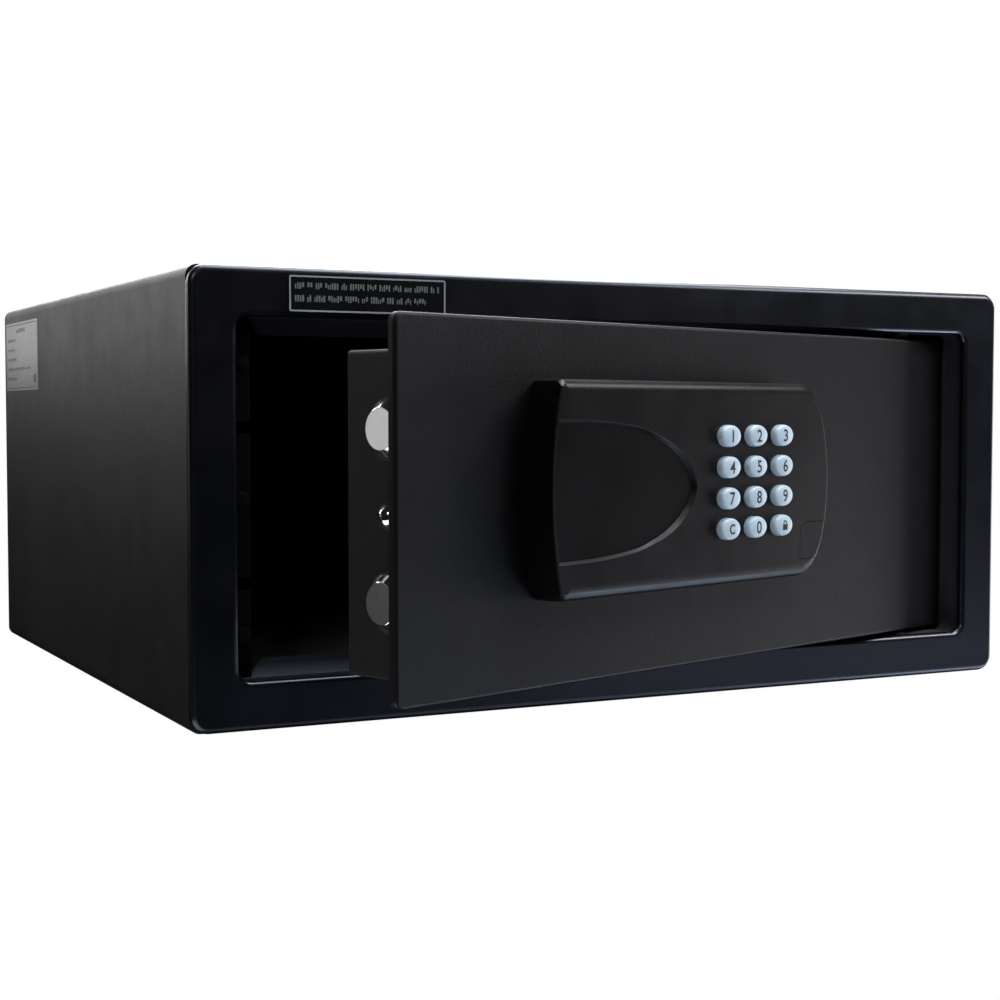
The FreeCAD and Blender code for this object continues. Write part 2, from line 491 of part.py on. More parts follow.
PAD_L0, PAD_LM = 97.4, 90.6            # left arc: at the corners, and at mid height
PAD_R0, PAD_RM = 266.0, 279.5          # right arc
z0, z1 = PAD_Z0 - 6.0, PAD_Z1 + 6.0


def pad_outline(dx=0.0, grow=0.0):
    lc, lb, lt = (PAD_LM - grow, ZC), (98.8 - grow, z0), (98.8 - grow, z1)
    rc, rb, rt = (PAD_RM + grow, ZC), (263.3 + grow, z0), (263.3 + grow, z1)
    e = [arc3(lb, lc, lt), Part.LineSegment(V(lt[0], 0, lt[1]), V(rt[0], 0, rt[1])).toShape(),
         arc3(rt, rc, rb), Part.LineSegment(V(rb[0], 0, rb[1]), V(lb[0], 0, lb[1])).toShape()]
    return Part.Face(Part.Wire(e))


def pad_body(inset, front, back, rr=11.0, rl=5.0):
    """Keypad shell envelope: plan outline with round corners, cut by a profile whose top and bottom front edges roll over."""
    f = pad_outline(grow=-inset)
    solid = f.extrude(V(0, 60, 0))
    solid.translate(V(0, -30, 0))
    solid = solid.common(box(60, 320, -40, 40, PAD_Z0 + inset, PAD_Z1 - inset))
    solid = fillet(solid, rr - inset, lambda e: e.BoundBox.YLength > 50 and e.CenterOfMass.x > 250)
    solid = fillet(solid, rl - inset, lambda e: e.BoundBox.YLength > 50 and e.CenterOfMass.x < 110)
    a, b = PAD_Z0 + inset, PAD_Z1 - inset
    R = 4.2 - inset if inset < 3 else 1.2
    yf, yb = front, back
    k = math.sqrt(0.5)
    w = Part.Wire([
        Part.LineSegment(V(50, yb, a), V(50, yf + R, a)).toShape(),
        Part.Arc(V(50, yf + R, a), V(50, yf + R - R * k, a + R - R * k), V(50, yf, a + R)).toShape(),
        Part.LineSegment(V(50, yf, a + R), V(50, yf, b - R)).toShape(),
        Part.Arc(V(50, yf, b - R), V(50, yf + R - R * k, b - R + R * k), V(50, yf + R, b)).toShape(),
        Part.LineSegment(V(50, yf + R, b), V(50, yb, b)).toShape(),
        Part.LineSegment(V(50, yb, b), V(50, yb, a)).toShape()])
    prof = Part.Face(w).extrude(V(300, 0, 0))
    return solid.common(prof)


PF = PY - PAD_T                        # front plane of the keypad
pad = pad_body(0.0, PF, PY)
hollow = pad_body(2.0, PF + 2.0, PY + 1)
pad = pad.cut(hollow)

# D-shaped display recess with a bevelled rim, closed at the left by the end wall
DW = [(84.0, 131.0), (116.0, 130.6), (138.8, 128.6), (153.1, 125.3), (165.1, 120.9), (173.6, 115.1), (179.2, 108.3),
      (181.1, 102.5)]
DB = [(84.0, 74.2), (116.0, 74.9), (138.8, 76.6), (153.1, 79.9), (165.1, 84.3), (173.6, 90.0), (179.2, 96.8)]


def d_face(off, y):
    cx, cz = 130.0, 102.5
    top = [(x, z) for x, z in DW]
    bot = [(x, z) for x, z in DB[::-1]]
    pts = []
    for x, z in top + bot:
        ang = math.atan2((z - cz) / 28.3, max(x - cx, 0.0) / 51.0)
        nx, nz = math.cos(ang), math.sin(ang)
        pts.append(V(x - off * nx, y, z - off * nz))
    c = Part.BSplineCurve()
    c.interpolate(pts)
    e = c.toShape()
    l = Part.LineSegment(pts[-1], pts[0]).toShape()
    return Part.Wire([e, l])


rim_d, rec = 2.6, 1.4
cutter = Part.makeLoft([d_face(0.0, PF - 0.002), d_face(rim_d, PF + rec)], True)
cutter2 = Part.Face(d_face(rim_d, PF + rec - 0.01)).extrude(V(0, 3.0, 0))
cut_top = Part.Face(d_face(0.0, PF)).extrude(V(0, -5.0, 0))
# the left wall stands in front of the window's end at full height
keep = pad_outline(grow=-1.5).extrude(V(0, 60, 0))
keep.translate(V(0, -30, 0))
for c in (cutter, cutter2, cut_top):
    pad = pad.cut(c.common(keep))
# key openings, screw bosses, port bay
for x in KEY_X:
    for z in KEY_Z:
        el = Part.Ellipse(V(x, PF - 1, z), KEY_RX + 0.35, KEY_RZ + 0.35)
        el.Axis = V(0, 1, 0)
        f = Part.Face(Part.Wire(el.toShape())).extrude(V(0, 5, 0))
        if f.BoundBox.XLength < f.BoundBox.ZLength:
            f.rotate(V(x, 0, z), V(0, 1, 0), 90)
        pad = pad.cut(f)
bosses = []
for x, z in PAD_SCREWS:
    bosses.append(cyl((x, PF + 2.5, z), (0, 1, 0), 3.6, PAD_T - 2.5))
pad = fuse(pad, *[b.common(pad_body(1.0, PF + 2.4, PY)) for b in bosses])
for x, z in PAD_SCREWS:
    pad = pad.cut(cyl((x, PF + 4.5, z), (0, 1, 0), 1.35, 30))
port_env = pad_body(0.0, PF, PY)
pc = box(257.0, 290.0, PF - 5, PF + 2.0, 67.5, 84.0)
pc = fillet(pc, 6.0, lambda e: e.BoundBox.YLength > 4 and e.CenterOfMass.x < 258 and e.CenterOfMass.z > 80)
pc_cut = box(256.6, 290.0, PF - 5, PF + 2.4, 67.1, 84.4)
pc_cut = fillet(pc_cut, 6.4, lambda e: e.BoundBox.YLength > 4 and e.CenterOfMass.x < 258 and e.CenterOfMass.z > 80)
port_cover = pc.common(port_env)
pad = pad.cut(pc_cut)
sock = box(257.5, 266.5, PF + 3.2, PF + 9.0, 73.0, 81.5).common(pad_body(3.0, PF + 2.4, PY))
sock = sock.cut(cyl((262.0, PF + 3.0, 77.2), (0, 1, 0), 2.2, 4.0))
pad_parts = sorted(pad.Solids, key=lambda s: -s.Volume)
print("keypad solids", len(pad_parts), [round(s.Volume, 1) for s in pad_parts[:4]])
write("keypad_housing", pad_parts[0], place_door)
write("port_cover", sorted(port_cover.Solids, key=lambda s: -s.Volume)[0], place_door)
write("port_socket", sock, place_door)

win_src = Part.Face(d_face(rim_d + 0.15, PF + rec)).extrude(V(0, 1.2, 0))
env = pad_outline(grow=-1.65).extrude(V(0, 60, 0))
env.translate(V(0, -30, 0))
win = win_src.common(env)
write("display_window", sorted(win.Solids, key=lambda s: -s.Volume)[0], place_door)
led = box(112, 158, PF + 5.6, PF + 9.6, 92, 114)
write("led_display", led, place_door)
KB0, KB1 = PF + 10.0, PF + 11.6
kb = rr(106, 254, 77, 130, 2, KB0, KB1)
write("keypad_board", kb, place_door)
mat_k = rr(190.5, 252.0, 76.0, 131.5, 2, PF + 8.2, PF + 9.9)
write("key_mat", mat_k, place_door)

names = [["key_1", "key_2", "key_3"], ["key_4", "key_5", "key_6"], ["key_7", "key_8", "key_9"], ["key_clear", "key_0", "key_lock"]]


def key_solid(x, z):
    def ell(rx, rz, y):
        el = Part.Ellipse(V(0, 0, 0), rx, rz)
        w = Part.Wire(el.toShape())
        w.rotate(V(0, 0, 0), V(1, 0, 0), 90)
        w.translate(V(x, y, z))
        return w
    # straight oval body, stepped shoulder under the face plate, softly domed top
    body = Part.Face(ell(KEY_RX, KEY_RZ, PF + 6.6)).extrude(V(0, -(6.6 + KEY_PROUD), 0))
    if body.Volume < 0:
        body = body.reversed()
    body = fillet(body, 1.5, lambda e: at_y(e, PF - KEY_PROUD))
    skirt = Part.Face(ell(KEY_RX + 1.3, KEY_RZ + 1.0, PF + 6.6)).extrude(V(0, -2.4, 0))
    return fuse(body, skirt)


for r, z in enumerate(KEY_Z):
    for c, x in enumerate(KEY_X):
        write(names[r][c], key_solid(x, z), place_door)

write("module_screws", [pan_screw((x, BK, z), (0, -1, 0), 1.3, 13.0, 2.9, 1.8) for x, z in PAD_SCREWS], place_door)

# flat ribbon from the keypad board through the door plate to the control board
def ribbon(path, t, z0, z1):
    left, right = [], []
    n = len(path)
    for i, p in enumerate(path):
        a = path[max(i - 1, 0)]
        b = path[min(i + 1, n - 1)]
        dx, dy = b[0] - a[0], b[1] - a[1]
        L = math.hypot(dx, dy)
        nx, ny = -dy / L * t / 2, dx / L * t / 2
        left.append((p[0] + nx, p[1] + ny)); right.append((p[0] - nx, p[1] - ny))
    return poly_z(left + right[::-1], z0, z1)


write("keypad_ribbon", ribbon([(172.0, KB1 + 0.02), (172.0, 9.4), (172.7, 11.2), (174.4, 12.0), (185.9, 12.4)], 0.8, 66.8, 71.2), place_door)
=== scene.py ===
import bpy
import bmesh
import json
import math
from mathutils import Matrix, Vector


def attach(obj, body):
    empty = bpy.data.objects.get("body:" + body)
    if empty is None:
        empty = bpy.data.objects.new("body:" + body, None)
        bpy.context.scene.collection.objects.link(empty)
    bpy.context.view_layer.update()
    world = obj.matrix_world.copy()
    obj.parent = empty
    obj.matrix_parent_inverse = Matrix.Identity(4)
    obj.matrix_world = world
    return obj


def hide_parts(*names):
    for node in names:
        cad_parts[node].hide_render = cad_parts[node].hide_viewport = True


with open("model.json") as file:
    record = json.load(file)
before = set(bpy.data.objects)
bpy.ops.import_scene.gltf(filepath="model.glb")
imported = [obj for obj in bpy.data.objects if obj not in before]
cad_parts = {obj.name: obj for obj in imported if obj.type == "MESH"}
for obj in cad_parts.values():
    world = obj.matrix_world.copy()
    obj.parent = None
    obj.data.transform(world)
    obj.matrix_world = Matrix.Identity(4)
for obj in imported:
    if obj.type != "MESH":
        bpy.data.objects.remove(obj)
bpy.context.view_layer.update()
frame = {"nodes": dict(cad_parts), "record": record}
SCENE = bpy.context.scene
NODES = frame["nodes"]

# ------------------------------------------------------------------ frames
# Shop coordinates, millimetres: x from the safe's left side, y back from the front plane, z up from the base.
# Door pieces are written with the door shut; M_DOOR carries them to the rest pose, ajar.
HX, HY = 374.0, 10.9
M_SHOP = Matrix.Translation((-0.215, -0.19, 0.0)) @ Matrix.Scale(0.001, 4)
_h = Vector(((HX - 215) / 1000, (HY - 190) / 1000, 0))
M_DOOR = Matrix.Translation(_h) @ Matrix.Rotation(math.radians(19.0), 4, "Z") @ Matrix.Translation(-_h) @ M_SHOP
PY = 4.0                 # door face
PF = -12.0               # keypad face
KEY_X = (201.9, 221.3, 240.8)
KEY_Z = (123.8, 110.3, 96.9, 83.6)
KEY_RX, KEY_RZ = 7.0, 4.85


# ------------------------------------------------------------------ node helpers
class Mat:
    """A small wrapper that builds a node material."""

    def __init__(self, name):
        self.m = bpy.data.materials.new(name)
        self.m.use_nodes = True
        self.nt = self.m.node_tree
        self.nt.nodes.clear()
        self.out = self.nt.nodes.new("ShaderNodeOutputMaterial")
        self.b = self.nt.nodes.new("ShaderNodeBsdfPrincipled")
        self.nt.links.new(self.b.outputs[0], self.out.inputs[0])
        self.tc = self.nt.nodes.new("ShaderNodeTexCoord")

    def link(self, a, b):
        self.nt.links.new(a, b)

    def set(self, **kw):
        names = {"metal": "Metallic", "rough": "Roughness", "ior": "IOR", "coat": "Coat Weight",
                 "coat_rough": "Coat Roughness", "sheen": "Sheen Weight", "spec": "Specular IOR Level",
                 "aniso": "Anisotropic", "sss": "Subsurface Weight", "sss_scale": "Subsurface Scale",
                 "sheen_rough": "Sheen Roughness", "emit": "Emission Strength", "tint": "Specular Tint"}
        for k, v in kw.items():
            self.b.inputs[names[k]].default_value = v
        return self

    def node(self, kind, **kw):
        n = self.nt.nodes.new(kind)
        for k, v in kw.items():
            setattr(n, k, v)
        return n

    def coords(self, scale=(1, 1, 1), rot=(0, 0, 0)):
        mp = self.node("ShaderNodeMapping")
        mp.inputs["Scale"].default_value = scale
        mp.inputs["Rotation"].default_value = rot
        self.link(self.tc.outputs["Object"], mp.inputs["Vector"])
        return mp.outputs["Vector"]

    def noise(self, scale, detail=2.0, rough=0.5, vec=None, distort=0.0):
        n = self.node("ShaderNodeTexNoise")
        n.inputs["Scale"].default_value = scale
        n.inputs["Detail"].default_value = detail
        n.inputs["Roughness"].default_value = rough
        n.inputs["Distortion"].default_value = distort
        self.link(vec or self.tc.outputs["Object"], n.inputs["Vector"])
        return n.outputs["Fac"]

    def voronoi(self, scale, feature="F1", vec=None, rand=1.0):
        n = self.node("ShaderNodeTexVoronoi", feature=feature)
        n.inputs["Scale"].default_value = scale
        n.inputs["Randomness"].default_value = rand
        self.link(vec or self.tc.outputs["Object"], n.inputs["Vector"])
        return n.outputs["Distance"]

    def ramp(self, fac, stops):
        r = self.node("ShaderNodeValToRGB")
        e = r.color_ramp.elements
        while len(e) > 1:
            e.remove(e[-1])
        e[0].position = stops[0][0]
        e[0].color = (*stops[0][1], 1)
        for p, c in stops[1:]:
            x = e.new(p)
            x.color = (*c, 1)
        self.link(fac, r.inputs["Fac"])
        return r.outputs["Color"]

    def remap(self, fac, a, b, lo=0.0, hi=1.0):
        n = self.node("ShaderNodeMapRange")
        for i, v in ((1, lo), (2, hi), (3, a), (4, b)):
            n.inputs[i].default_value = v
        self.link(fac, n.inputs[0])
        return n.outputs[0]

    def math(self, op, a, b=0.5):
        n = self.node("ShaderNodeMath", operation=op)
        for i, v in enumerate((a, b)):
            if isinstance(v, (int, float)):
                n.inputs[i].default_value = v
            else:
                self.link(v, n.inputs[i])
        return n.outputs[0]

    def mix(self, fac, a, b):
        n = self.node("ShaderNodeMix", data_type="RGBA")
        for s, v in ((n.inputs[0], fac), (n.inputs[6], a), (n.inputs[7], b)):
            if isinstance(v, (int, float)):
                s.default_value = v
            elif isinstance(v, tuple):
                s.default_value = (*v, 1)
            else:
                self.link(v, s)
        return n.outputs[2]

    def color(self, c):
        if isinstance(c, tuple):
            self.b.inputs["Base Color"].default_value = (*c, 1)
        else:
            self.link(c, self.b.inputs["Base Color"])

    def rough(self, s):
        self.link(s, self.b.inputs["Roughness"])

    def bump(self, layers):
        """layers: (height socket, distance in metres, strength), stacked."""
        prev = None
        for h, d, st in layers:
            n = self.node("ShaderNodeBump")
            n.inputs["Distance"].default_value = d
            n.inputs["Strength"].default_value = st
            self.link(h, n.inputs["Height"])
            if prev is not None:
                self.link(prev, n.inputs["Normal"])
            prev = n.outputs["Normal"]
        self.link(prev, self.b.inputs["Normal"])

    def edge(self, radius, samples=4, lo=0.02, hi=0.22):
        """Mask of edges: where the rounded normal leaves the true one."""
        bv = self.node("ShaderNodeBevel", samples=samples)
        bv.inputs["Radius"].default_value = radius
        g = self.node("ShaderNodeNewGeometry")
        dot = self.node("ShaderNodeVectorMath", operation="DOT_PRODUCT")
        self.link(bv.outputs["Normal"], dot.inputs[0])
        self.link(g.outputs["Normal"], dot.inputs[1])
        inv = self.math("SUBTRACT", 1.0, dot.outputs["Value"])
        return self.remap(inv, 0.0, 1.0, lo, hi)


def powder(name, base, rough, grain=1400.0, grain_d=0.00006, peel=260.0, peel_d=0.00004, vary=0.16, wear=0.35,
           wear_col=(0.055, 0.055, 0.058), spec=0.5, tint=(1.0, 1.0, 1.0, 1.0), coat=0.0, coat_rough=0.15):
    """Baked powder coat: fine grain over a faint orange peel, slow colour drift, edges rubbed a little lighter."""
    m = Mat(name)
    m.set(spec=spec, tint=tint, coat=coat, coat_rough=coat_rough)
    fine = m.noise(grain, 2.0, 0.6)
    pit = m.voronoi(grain * 0.62)
    slow = m.noise(7.0, 3.0, 0.55)
    dust = m.noise(60.0, 4.0, 0.6)
    lo = tuple(c * (1 - vary) for c in base)
    hi = tuple(c * (1 + vary) for c in base)
    col = m.ramp(fine, [(0.30, lo), (0.70, hi)])
    drift = m.ramp(slow, [(0.35, tuple(c * 0.90 for c in base)), (0.65, tuple(c * 1.10 for c in base))])
    col = m.mix(0.45, col, drift)
    if wear > 0:
        e = m.edge(0.0009)
        broke = m.remap(dust, 0.0, 1.0, 0.42, 0.66)
        mask = m.math("MULTIPLY", m.math("MULTIPLY", e, broke), wear)
        col = m.mix(mask, col, wear_col)
    m.color(col)
    r = m.remap(m.math("ADD", m.math("MULTIPLY", slow, 0.5), m.math("MULTIPLY", dust, 0.5)), rough - 0.06, rough + 0.07, 0.3, 0.7)
    m.rough(r)
    m.bump([(m.noise(peel, 1.0, 0.5), peel_d, 0.8), (fine, grain_d, 0.9), (pit, grain_d * 0.6, 0.6)])
    return m.m


def plastic(name, base, rough, grain=2600.0, grain_d=0.000012, vary=0.12, coat=0.0, scratches=0.0, spec=0.5):
    m = Mat(name)
    m.set(coat=coat, coat_rough=0.12, spec=spec)
    fine = m.noise(grain, 2.0, 0.6)
    slow = m.noise(16.0, 3.0, 0.5)
    m.color(m.ramp(m.math("ADD", m.math("MULTIPLY", fine, 0.35), m.math("MULTIPLY", slow, 0.65)),
                   [(0.35, tuple(c * (1 - vary) for c in base)), (0.65, tuple(c * (1 + vary) for c in base))]))
    m.rough(m.remap(m.noise(40.0, 4.0, 0.6), rough - 0.04, rough + 0.05, 0.3, 0.7))
    layers = [(fine, grain_d, 0.9), (m.noise(22.0, 2.0, 0.5), 0.00008, 0.25)]
    if scratches > 0:
        sc = m.noise(900.0, 2.0, 0.5, vec=m.coords((0.06, 1.0, 1.0), (0.2, 0.1, 0.4)))
        layers.append((m.ramp(sc, [(0.60, (0, 0, 0)), (0.66, (1, 1, 1))]), 0.000004, scratches))
    m.bump(layers)
    return m.m


def metal(name, base, rough, brush=None, grain_d=0.000006, blotch=0.1, aniso=0.0):
    """Bare or plated metal. brush is the stretch of its grain along X, Y, Z."""
    m = Mat(name)
    m.set(metal=1.0, aniso=aniso)
    vec = m.coords(brush) if brush else None
    grain = m.noise(900.0, 3.0, 0.6, vec=vec)
    slow = m.noise(45.0, 4.0, 0.6)
    m.color(m.ramp(m.math("ADD", m.math("MULTIPLY", grain, 0.4), m.math("MULTIPLY", slow, 0.6)),
                   [(0.3, tuple(c * (1 - blotch) for c in base)), (0.7, tuple(min(1.0, c * (1 + blotch)) for c in base))]))
    m.rough(m.remap(grain, max(0.03, rough - 0.07), rough + 0.09, 0.3, 0.7))
    m.bump([(grain, grain_d, 0.8)])
    return m.m


# ------------------------------------------------------------------ materials
M = {}
M["body_paint"] = powder("body_powder_coat", (0.0064, 0.0064, 0.0065), 0.43, grain=1300, grain_d=0.00007, vary=0.12, wear=0.22)
M["frame_paint"] = powder("frame_satin_black", (0.0009, 0.0010, 0.0018), 0.32, grain=1900, grain_d=0.000010, peel=420,
                          peel_d=0.000012, vary=0.10, wear=0.30, wear_col=(0.02, 0.022, 0.026), spec=0.56,
                          tint=(0.82, 0.83, 1.0, 1.0), coat=0.3, coat_rough=0.15)


def frame_zones(mat):
    """The satin black is smoothest on the rolled edges and only a thin dull film down inside the recess; two patches
    of lighter base colour there are painted light: a painted lit grey on the hinge-side recess wall and a painted lit
    bluish tone on the bottom lip.
    """
    nt = mat.node_tree
    b = next(n for n in nt.nodes if n.type == "BSDF_PRINCIPLED")
    tc = nt.nodes.new("ShaderNodeTexCoord")
    sp = nt.nodes.new("ShaderNodeSeparateXYZ")
    nt.links.new(tc.outputs["Object"], sp.inputs[0])

    def band(a, z, lo, hi, axis="Y"):
        n = nt.nodes.new("ShaderNodeMapRange")
        for i, v in ((1, a), (2, z), (3, lo), (4, hi)):
            n.inputs[i].default_value = v
        nt.links.new(sp.outputs[axis], n.inputs[0])
        return n.outputs[0]

    def both(p, q):
        n = nt.nodes.new("ShaderNodeMath")
        n.operation = "MULTIPLY"
        nt.links.new(p, n.inputs[0])
        nt.links.new(q, n.inputs[1])
        return n.outputs[0]

    # painted light: mixes a fixed lighter colour into the base colour under a mask
    def painted_light_patch(mask, col):
        n = nt.nodes.new("ShaderNodeMix")
        n.data_type = "RGBA"
        nt.links.new(mask, n.inputs[0])
        nt.links.new(b.inputs["Base Color"].links[0].from_socket, n.inputs[6])
        n.inputs[7].default_value = col
        nt.links.new(n.outputs[2], b.inputs["Base Color"])
    gloss = both(band(-0.18985, -0.1892, 0.10, 0.85), band(-0.1866, -0.1840, 1.0, 0.0))
    nt.links.new(both(gloss, band(0.004, 0.011, 0.10, 1.0, "Z")), b.inputs["Coat Weight"])
    # painted light: lighter grey base colour on the hinge-side wall of the recess, standing in for the light that
    # reaches that gap
    painted_light_patch(both(band(-0.1872, -0.1852, 0.0, 1.0), band(0.160, 0.166, 0.0, 1.0, "X")), (0.033, 0.030, 0.034, 1.0))
    # painted light: lighter bluish base colour on the bottom lip of the opening, standing in for the light falling on
    # it
    painted_light_patch(both(band(-0.1795, -0.1780, 0.0, 1.0), band(0.0218, 0.0260, 1.0, 0.0, "Z")), (0.050, 0.057, 0.070, 1.0))
    old = b.inputs["Roughness"].links[0].from_socket
    add_r = nt.nodes.new("ShaderNodeMath")
    add_r.operation = "ADD"
    add_r.use_clamp = True
    nt.links.new(old, add_r.inputs[0])
    nt.links.new(band(-0.1858, -0.1790, 0.0, 0.62), add_r.inputs[1])
    nt.links.new(add_r.outputs[0], b.inputs["Roughness"])


frame_zones(M["frame_paint"])
M["door_paint"] = powder("door_powder_coat", (0.0038, 0.0033, 0.0041), 0.46, grain=1050, grain_d=0.00010, vary=0.36, wear=0.10, spec=0.240)
M["housing_paint"] = powder("lock_case_matt_black", (0.0085, 0.0084, 0.0083), 0.58, grain=1500, grain_d=0.00005, vary=0.16, wear=0.15, spec=0.26)
M["keypad_plastic"] = plastic("keypad_satin_plastic", (0.0018, 0.0016, 0.0018), 0.36, coat=0.0, spec=0.238)
M["window_plastic"] = plastic("display_window_smoked", (0.0005, 0.0005, 0.0006), 0.42, grain=2200, grain_d=0.000016, vary=0.25, spec=0.11)
M["black_nylon"] = plastic("black_nylon", (0.022, 0.022, 0.023), 0.5)
# black rubber, darkened further and nearly without specular as painted shade for the buffers deep in the jamb
M["rubber"] = plastic("buffer_rubber_painted_shade", (0.0009, 0.0009, 0.0010), 0.7, grain=1800, grain_d=0.00003, vary=0.2, spec=0.08)
M["silicone"] = plastic("key_mat_silicone", (0.32, 0.33, 0.35), 0.6)
M["zinc_steel"] = metal("zinc_plated_steel", (0.56, 0.57, 0.56), 0.32)
M["plate_steel"] = metal("rolled_steel", (0.44, 0.44, 0.44), 0.36, brush=(1, 1, 0.08))
M["gear_steel"] = metal("gear_steel", (0.36, 0.36, 0.37), 0.30)
M["cast_zinc"] = metal("die_cast_zinc", (0.42, 0.43, 0.44), 0.46, grain_d=0.00003, blotch=0.2)
M["motor_steel"] = metal("motor_can_steel", (0.5, 0.5, 0.51), 0.24)
M["battery_sleeve"] = plastic("battery_sleeve", (0.03, 0.04, 0.075), 0.26, coat=0.4)
M["ribbon"] = plastic("flat_ribbon", (0.4, 0.4, 0.42), 0.5)
M["plate_black"] = plastic("label_black_gloss", (0.0045, 0.0048, 0.0058), 0.25, grain_d=0.000004)
M["display_module"] = plastic("display_red_filter", (0.03, 0.004, 0.004), 0.12, coat=0.5)


def circuit():
    m = Mat("circuit_board_mask")
    m.set(coat=0.4, coat_rough=0.15)
    tr = m.voronoi(260.0, "DISTANCE_TO_EDGE", rand=0.9)
    line = m.ramp(tr, [(0.03, (0.03, 0.20, 0.09)), (0.07, (0.008, 0.085, 0.035))])
    m.color(m.mix(0.3, line, m.ramp(m.noise(30, 2), [(0.4, (0.006, 0.07, 0.03)), (0.6, (0.012, 0.11, 0.05))])))
    m.rough(m.remap(m.noise(200, 2), 0.3, 0.42))
    m.bump([(tr, 0.00002, 0.4)])
    return m.m


M["circuit_board"] = circuit()


def chrome():
    """Satin chrome: faint haze in colour and roughness over a fine grain bump."""
    m = Mat("bolt_satin_chrome")
    m.set(metal=1.0)
    haze = m.noise(35.0, 4.0, 0.6)
    fine = m.noise(1600.0, 2.0, 0.6)
    m.color(m.ramp(haze, [(0.3, (0.70, 0.70, 0.71)), (0.7, (0.84, 0.84, 0.85))]))
    m.rough(m.remap(haze, 0.09, 0.17, 0.3, 0.7))
    m.bump([(fine, 0.000006, 0.7)])
    return m.m


M["bolt_chrome"] = chrome()


def key_plastic():
    """Pale blue pearl plastic, a little translucent, with a soft moulded texture."""
    m = Mat("key_pearl_plastic")
    m.set(sss=0.10, sss_scale=0.001, coat=0.25, coat_rough=0.18)
    pearl = m.noise(420.0, 3.0, 0.6)
    slow = m.noise(90.0, 2.0, 0.5)
    m.color(m.ramp(m.math("ADD", m.math("MULTIPLY", pearl, 0.4), m.math("MULTIPLY", slow, 0.6)),
                   [(0.3, (0.50, 0.62, 0.70)), (0.7, (0.60, 0.72, 0.80))]))
    m.rough(m.remap(pearl, 0.26, 0.38, 0.3, 0.7))
    m.bump([(m.noise(2400.0, 2.0, 0.5), 0.000006, 0.7)])
    return m.m


M["key_plastic"] = key_plastic()


def felt():
    """Needled felt: short tangled fibres, pilled and slightly matted."""
    m = Mat("mat_needled_felt")
    m.set(sheen=0.25, sheen_rough=0.5)
    fib = m.noise(1500.0, 6.0, 0.75, distort=1.6)
    tuft = m.noise(160.0, 4.0, 0.6, distort=0.6)
    slow = m.noise(9.0, 3.0, 0.5)
    m.color(m.mix(0.4, m.ramp(fib, [(0.3, (0.006, 0.006, 0.007)), (0.7, (0.030, 0.030, 0.032))]),
                  m.ramp(slow, [(0.4, (0.010, 0.010, 0.011)), (0.6, (0.018, 0.018, 0.019))])))
    m.rough(m.remap(fib, 0.86, 0.98))
    m.bump([(tuft, 0.0004, 0.6), (fib, 0.00025, 0.9)])
    return m.m


M["felt"] = felt()


def foil():
    """Printed silver foil: brushed metal film under a thin clear coat."""
    m = Mat("label_silver_foil")
    m.set(metal=0.55, coat=0.3, coat_rough=0.2)
    brush = m.noise(1400.0, 3.0, 0.6, vec=m.coords((1.0, 0.03, 1.0)))
    slow = m.noise(30.0, 2.0, 0.5)
    m.color(m.ramp(m.math("ADD", m.math("MULTIPLY", brush, 0.4), m.math("MULTIPLY", slow, 0.6)),
                   [(0.3, (0.27, 0.273, 0.277)), (0.7, (0.335, 0.34, 0.345))]))
    m.rough(m.remap(brush, 0.36, 0.50, 0.3, 0.7))
    m.bump([(brush, 0.000004, 0.8), (m.noise(55.0, 2.0), 0.00008, 0.25)])
    return m.m


M["label_silver"] = foil()
M["print_silver"] = plastic("print_silver_ink", (0.36, 0.39, 0.42), 0.42, grain_d=0.000004)
M["print_white"] = plastic("print_pale_ink", (0.17, 0.185, 0.20), 0.5, grain_d=0.000004)
M["print_dark"] = plastic("print_dark_ink", (0.03, 0.03, 0.033), 0.45, grain_d=0.000004)
M["legend_black"] = plastic("key_legend_ink", (0.008, 0.009, 0.011), 0.4, grain_d=0.000004)

SLOT_OF = {s["node"]: s["material_slot"] for s in frame["record"]["subparts"]}


def shade(me, angle=32.0):
    """Smooth shading with hard creases kept by angle."""
    me.polygons.foreach_set("use_smooth", [True] * len(me.polygons))
    bm = bmesh.new()
    bm.from_mesh(me)
    lim = math.radians(angle)
    for e in bm.edges:
        e.smooth = not (len(e.link_faces) != 2 or e.calc_face_angle(0.0) > lim)
    bm.to_mesh(me)
    bm.free()


# painted shade: a near-black, almost glossless copy of the paint for the strike channel, standing in for the shade
# deep in the jamb
M["jamb_paint"] = powder("jamb_painted_shade_black", (0.0006, 0.0006, 0.0007), 0.6, grain=1300, grain_d=0.00006, vary=0.2, wear=0.0, spec=0.07)
# painted light: a grey copy of the paint for the hinge jamb, far lighter than the frame's black, standing in for the
# light that reaches the hinge-side gap
M["hinge_jamb_paint"] = powder("hinge_jamb_painted_light_grey", (0.060, 0.057, 0.060), 0.6, grain=1300, grain_d=0.00006, vary=0.2, wear=0.0, spec=0.5)

# strike_channel takes the painted-shade copy of the paint and hinge_jamb the painted-light copy; other nodes take
# their slot's material
for name, o in NODES.items():
    mat = M["jamb_paint"] if name == "strike_channel" else M["hinge_jamb_paint"] if name == "hinge_jamb" else M.get(SLOT_OF.get(name))
    if mat is None:
        continue
    if not o.data.materials:
        o.data.materials.append(mat)
    for s in o.material_slots:
        s.material = mat


# ------------------------------------------------------------------ mesh helpers
def add(name, bm, matrix, body, mat, replaces=(), angle=None):
    """Turn a bmesh written in shop millimetres into a piece in the row frame."""
    bmesh.ops.recalc_face_normals(bm, faces=bm.faces)
    me = bpy.data.meshes.new(name)
    bm.to_mesh(me)
    bm.free()
    me.transform(matrix)
    o = bpy.data.objects.new(name, me)
    SCENE.collection.objects.link(o)
    me.materials.append(mat)
    if angle is not None:
        shade(me, angle)
    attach(o, body)
    if replaces:
        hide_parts(*replaces)
    return o


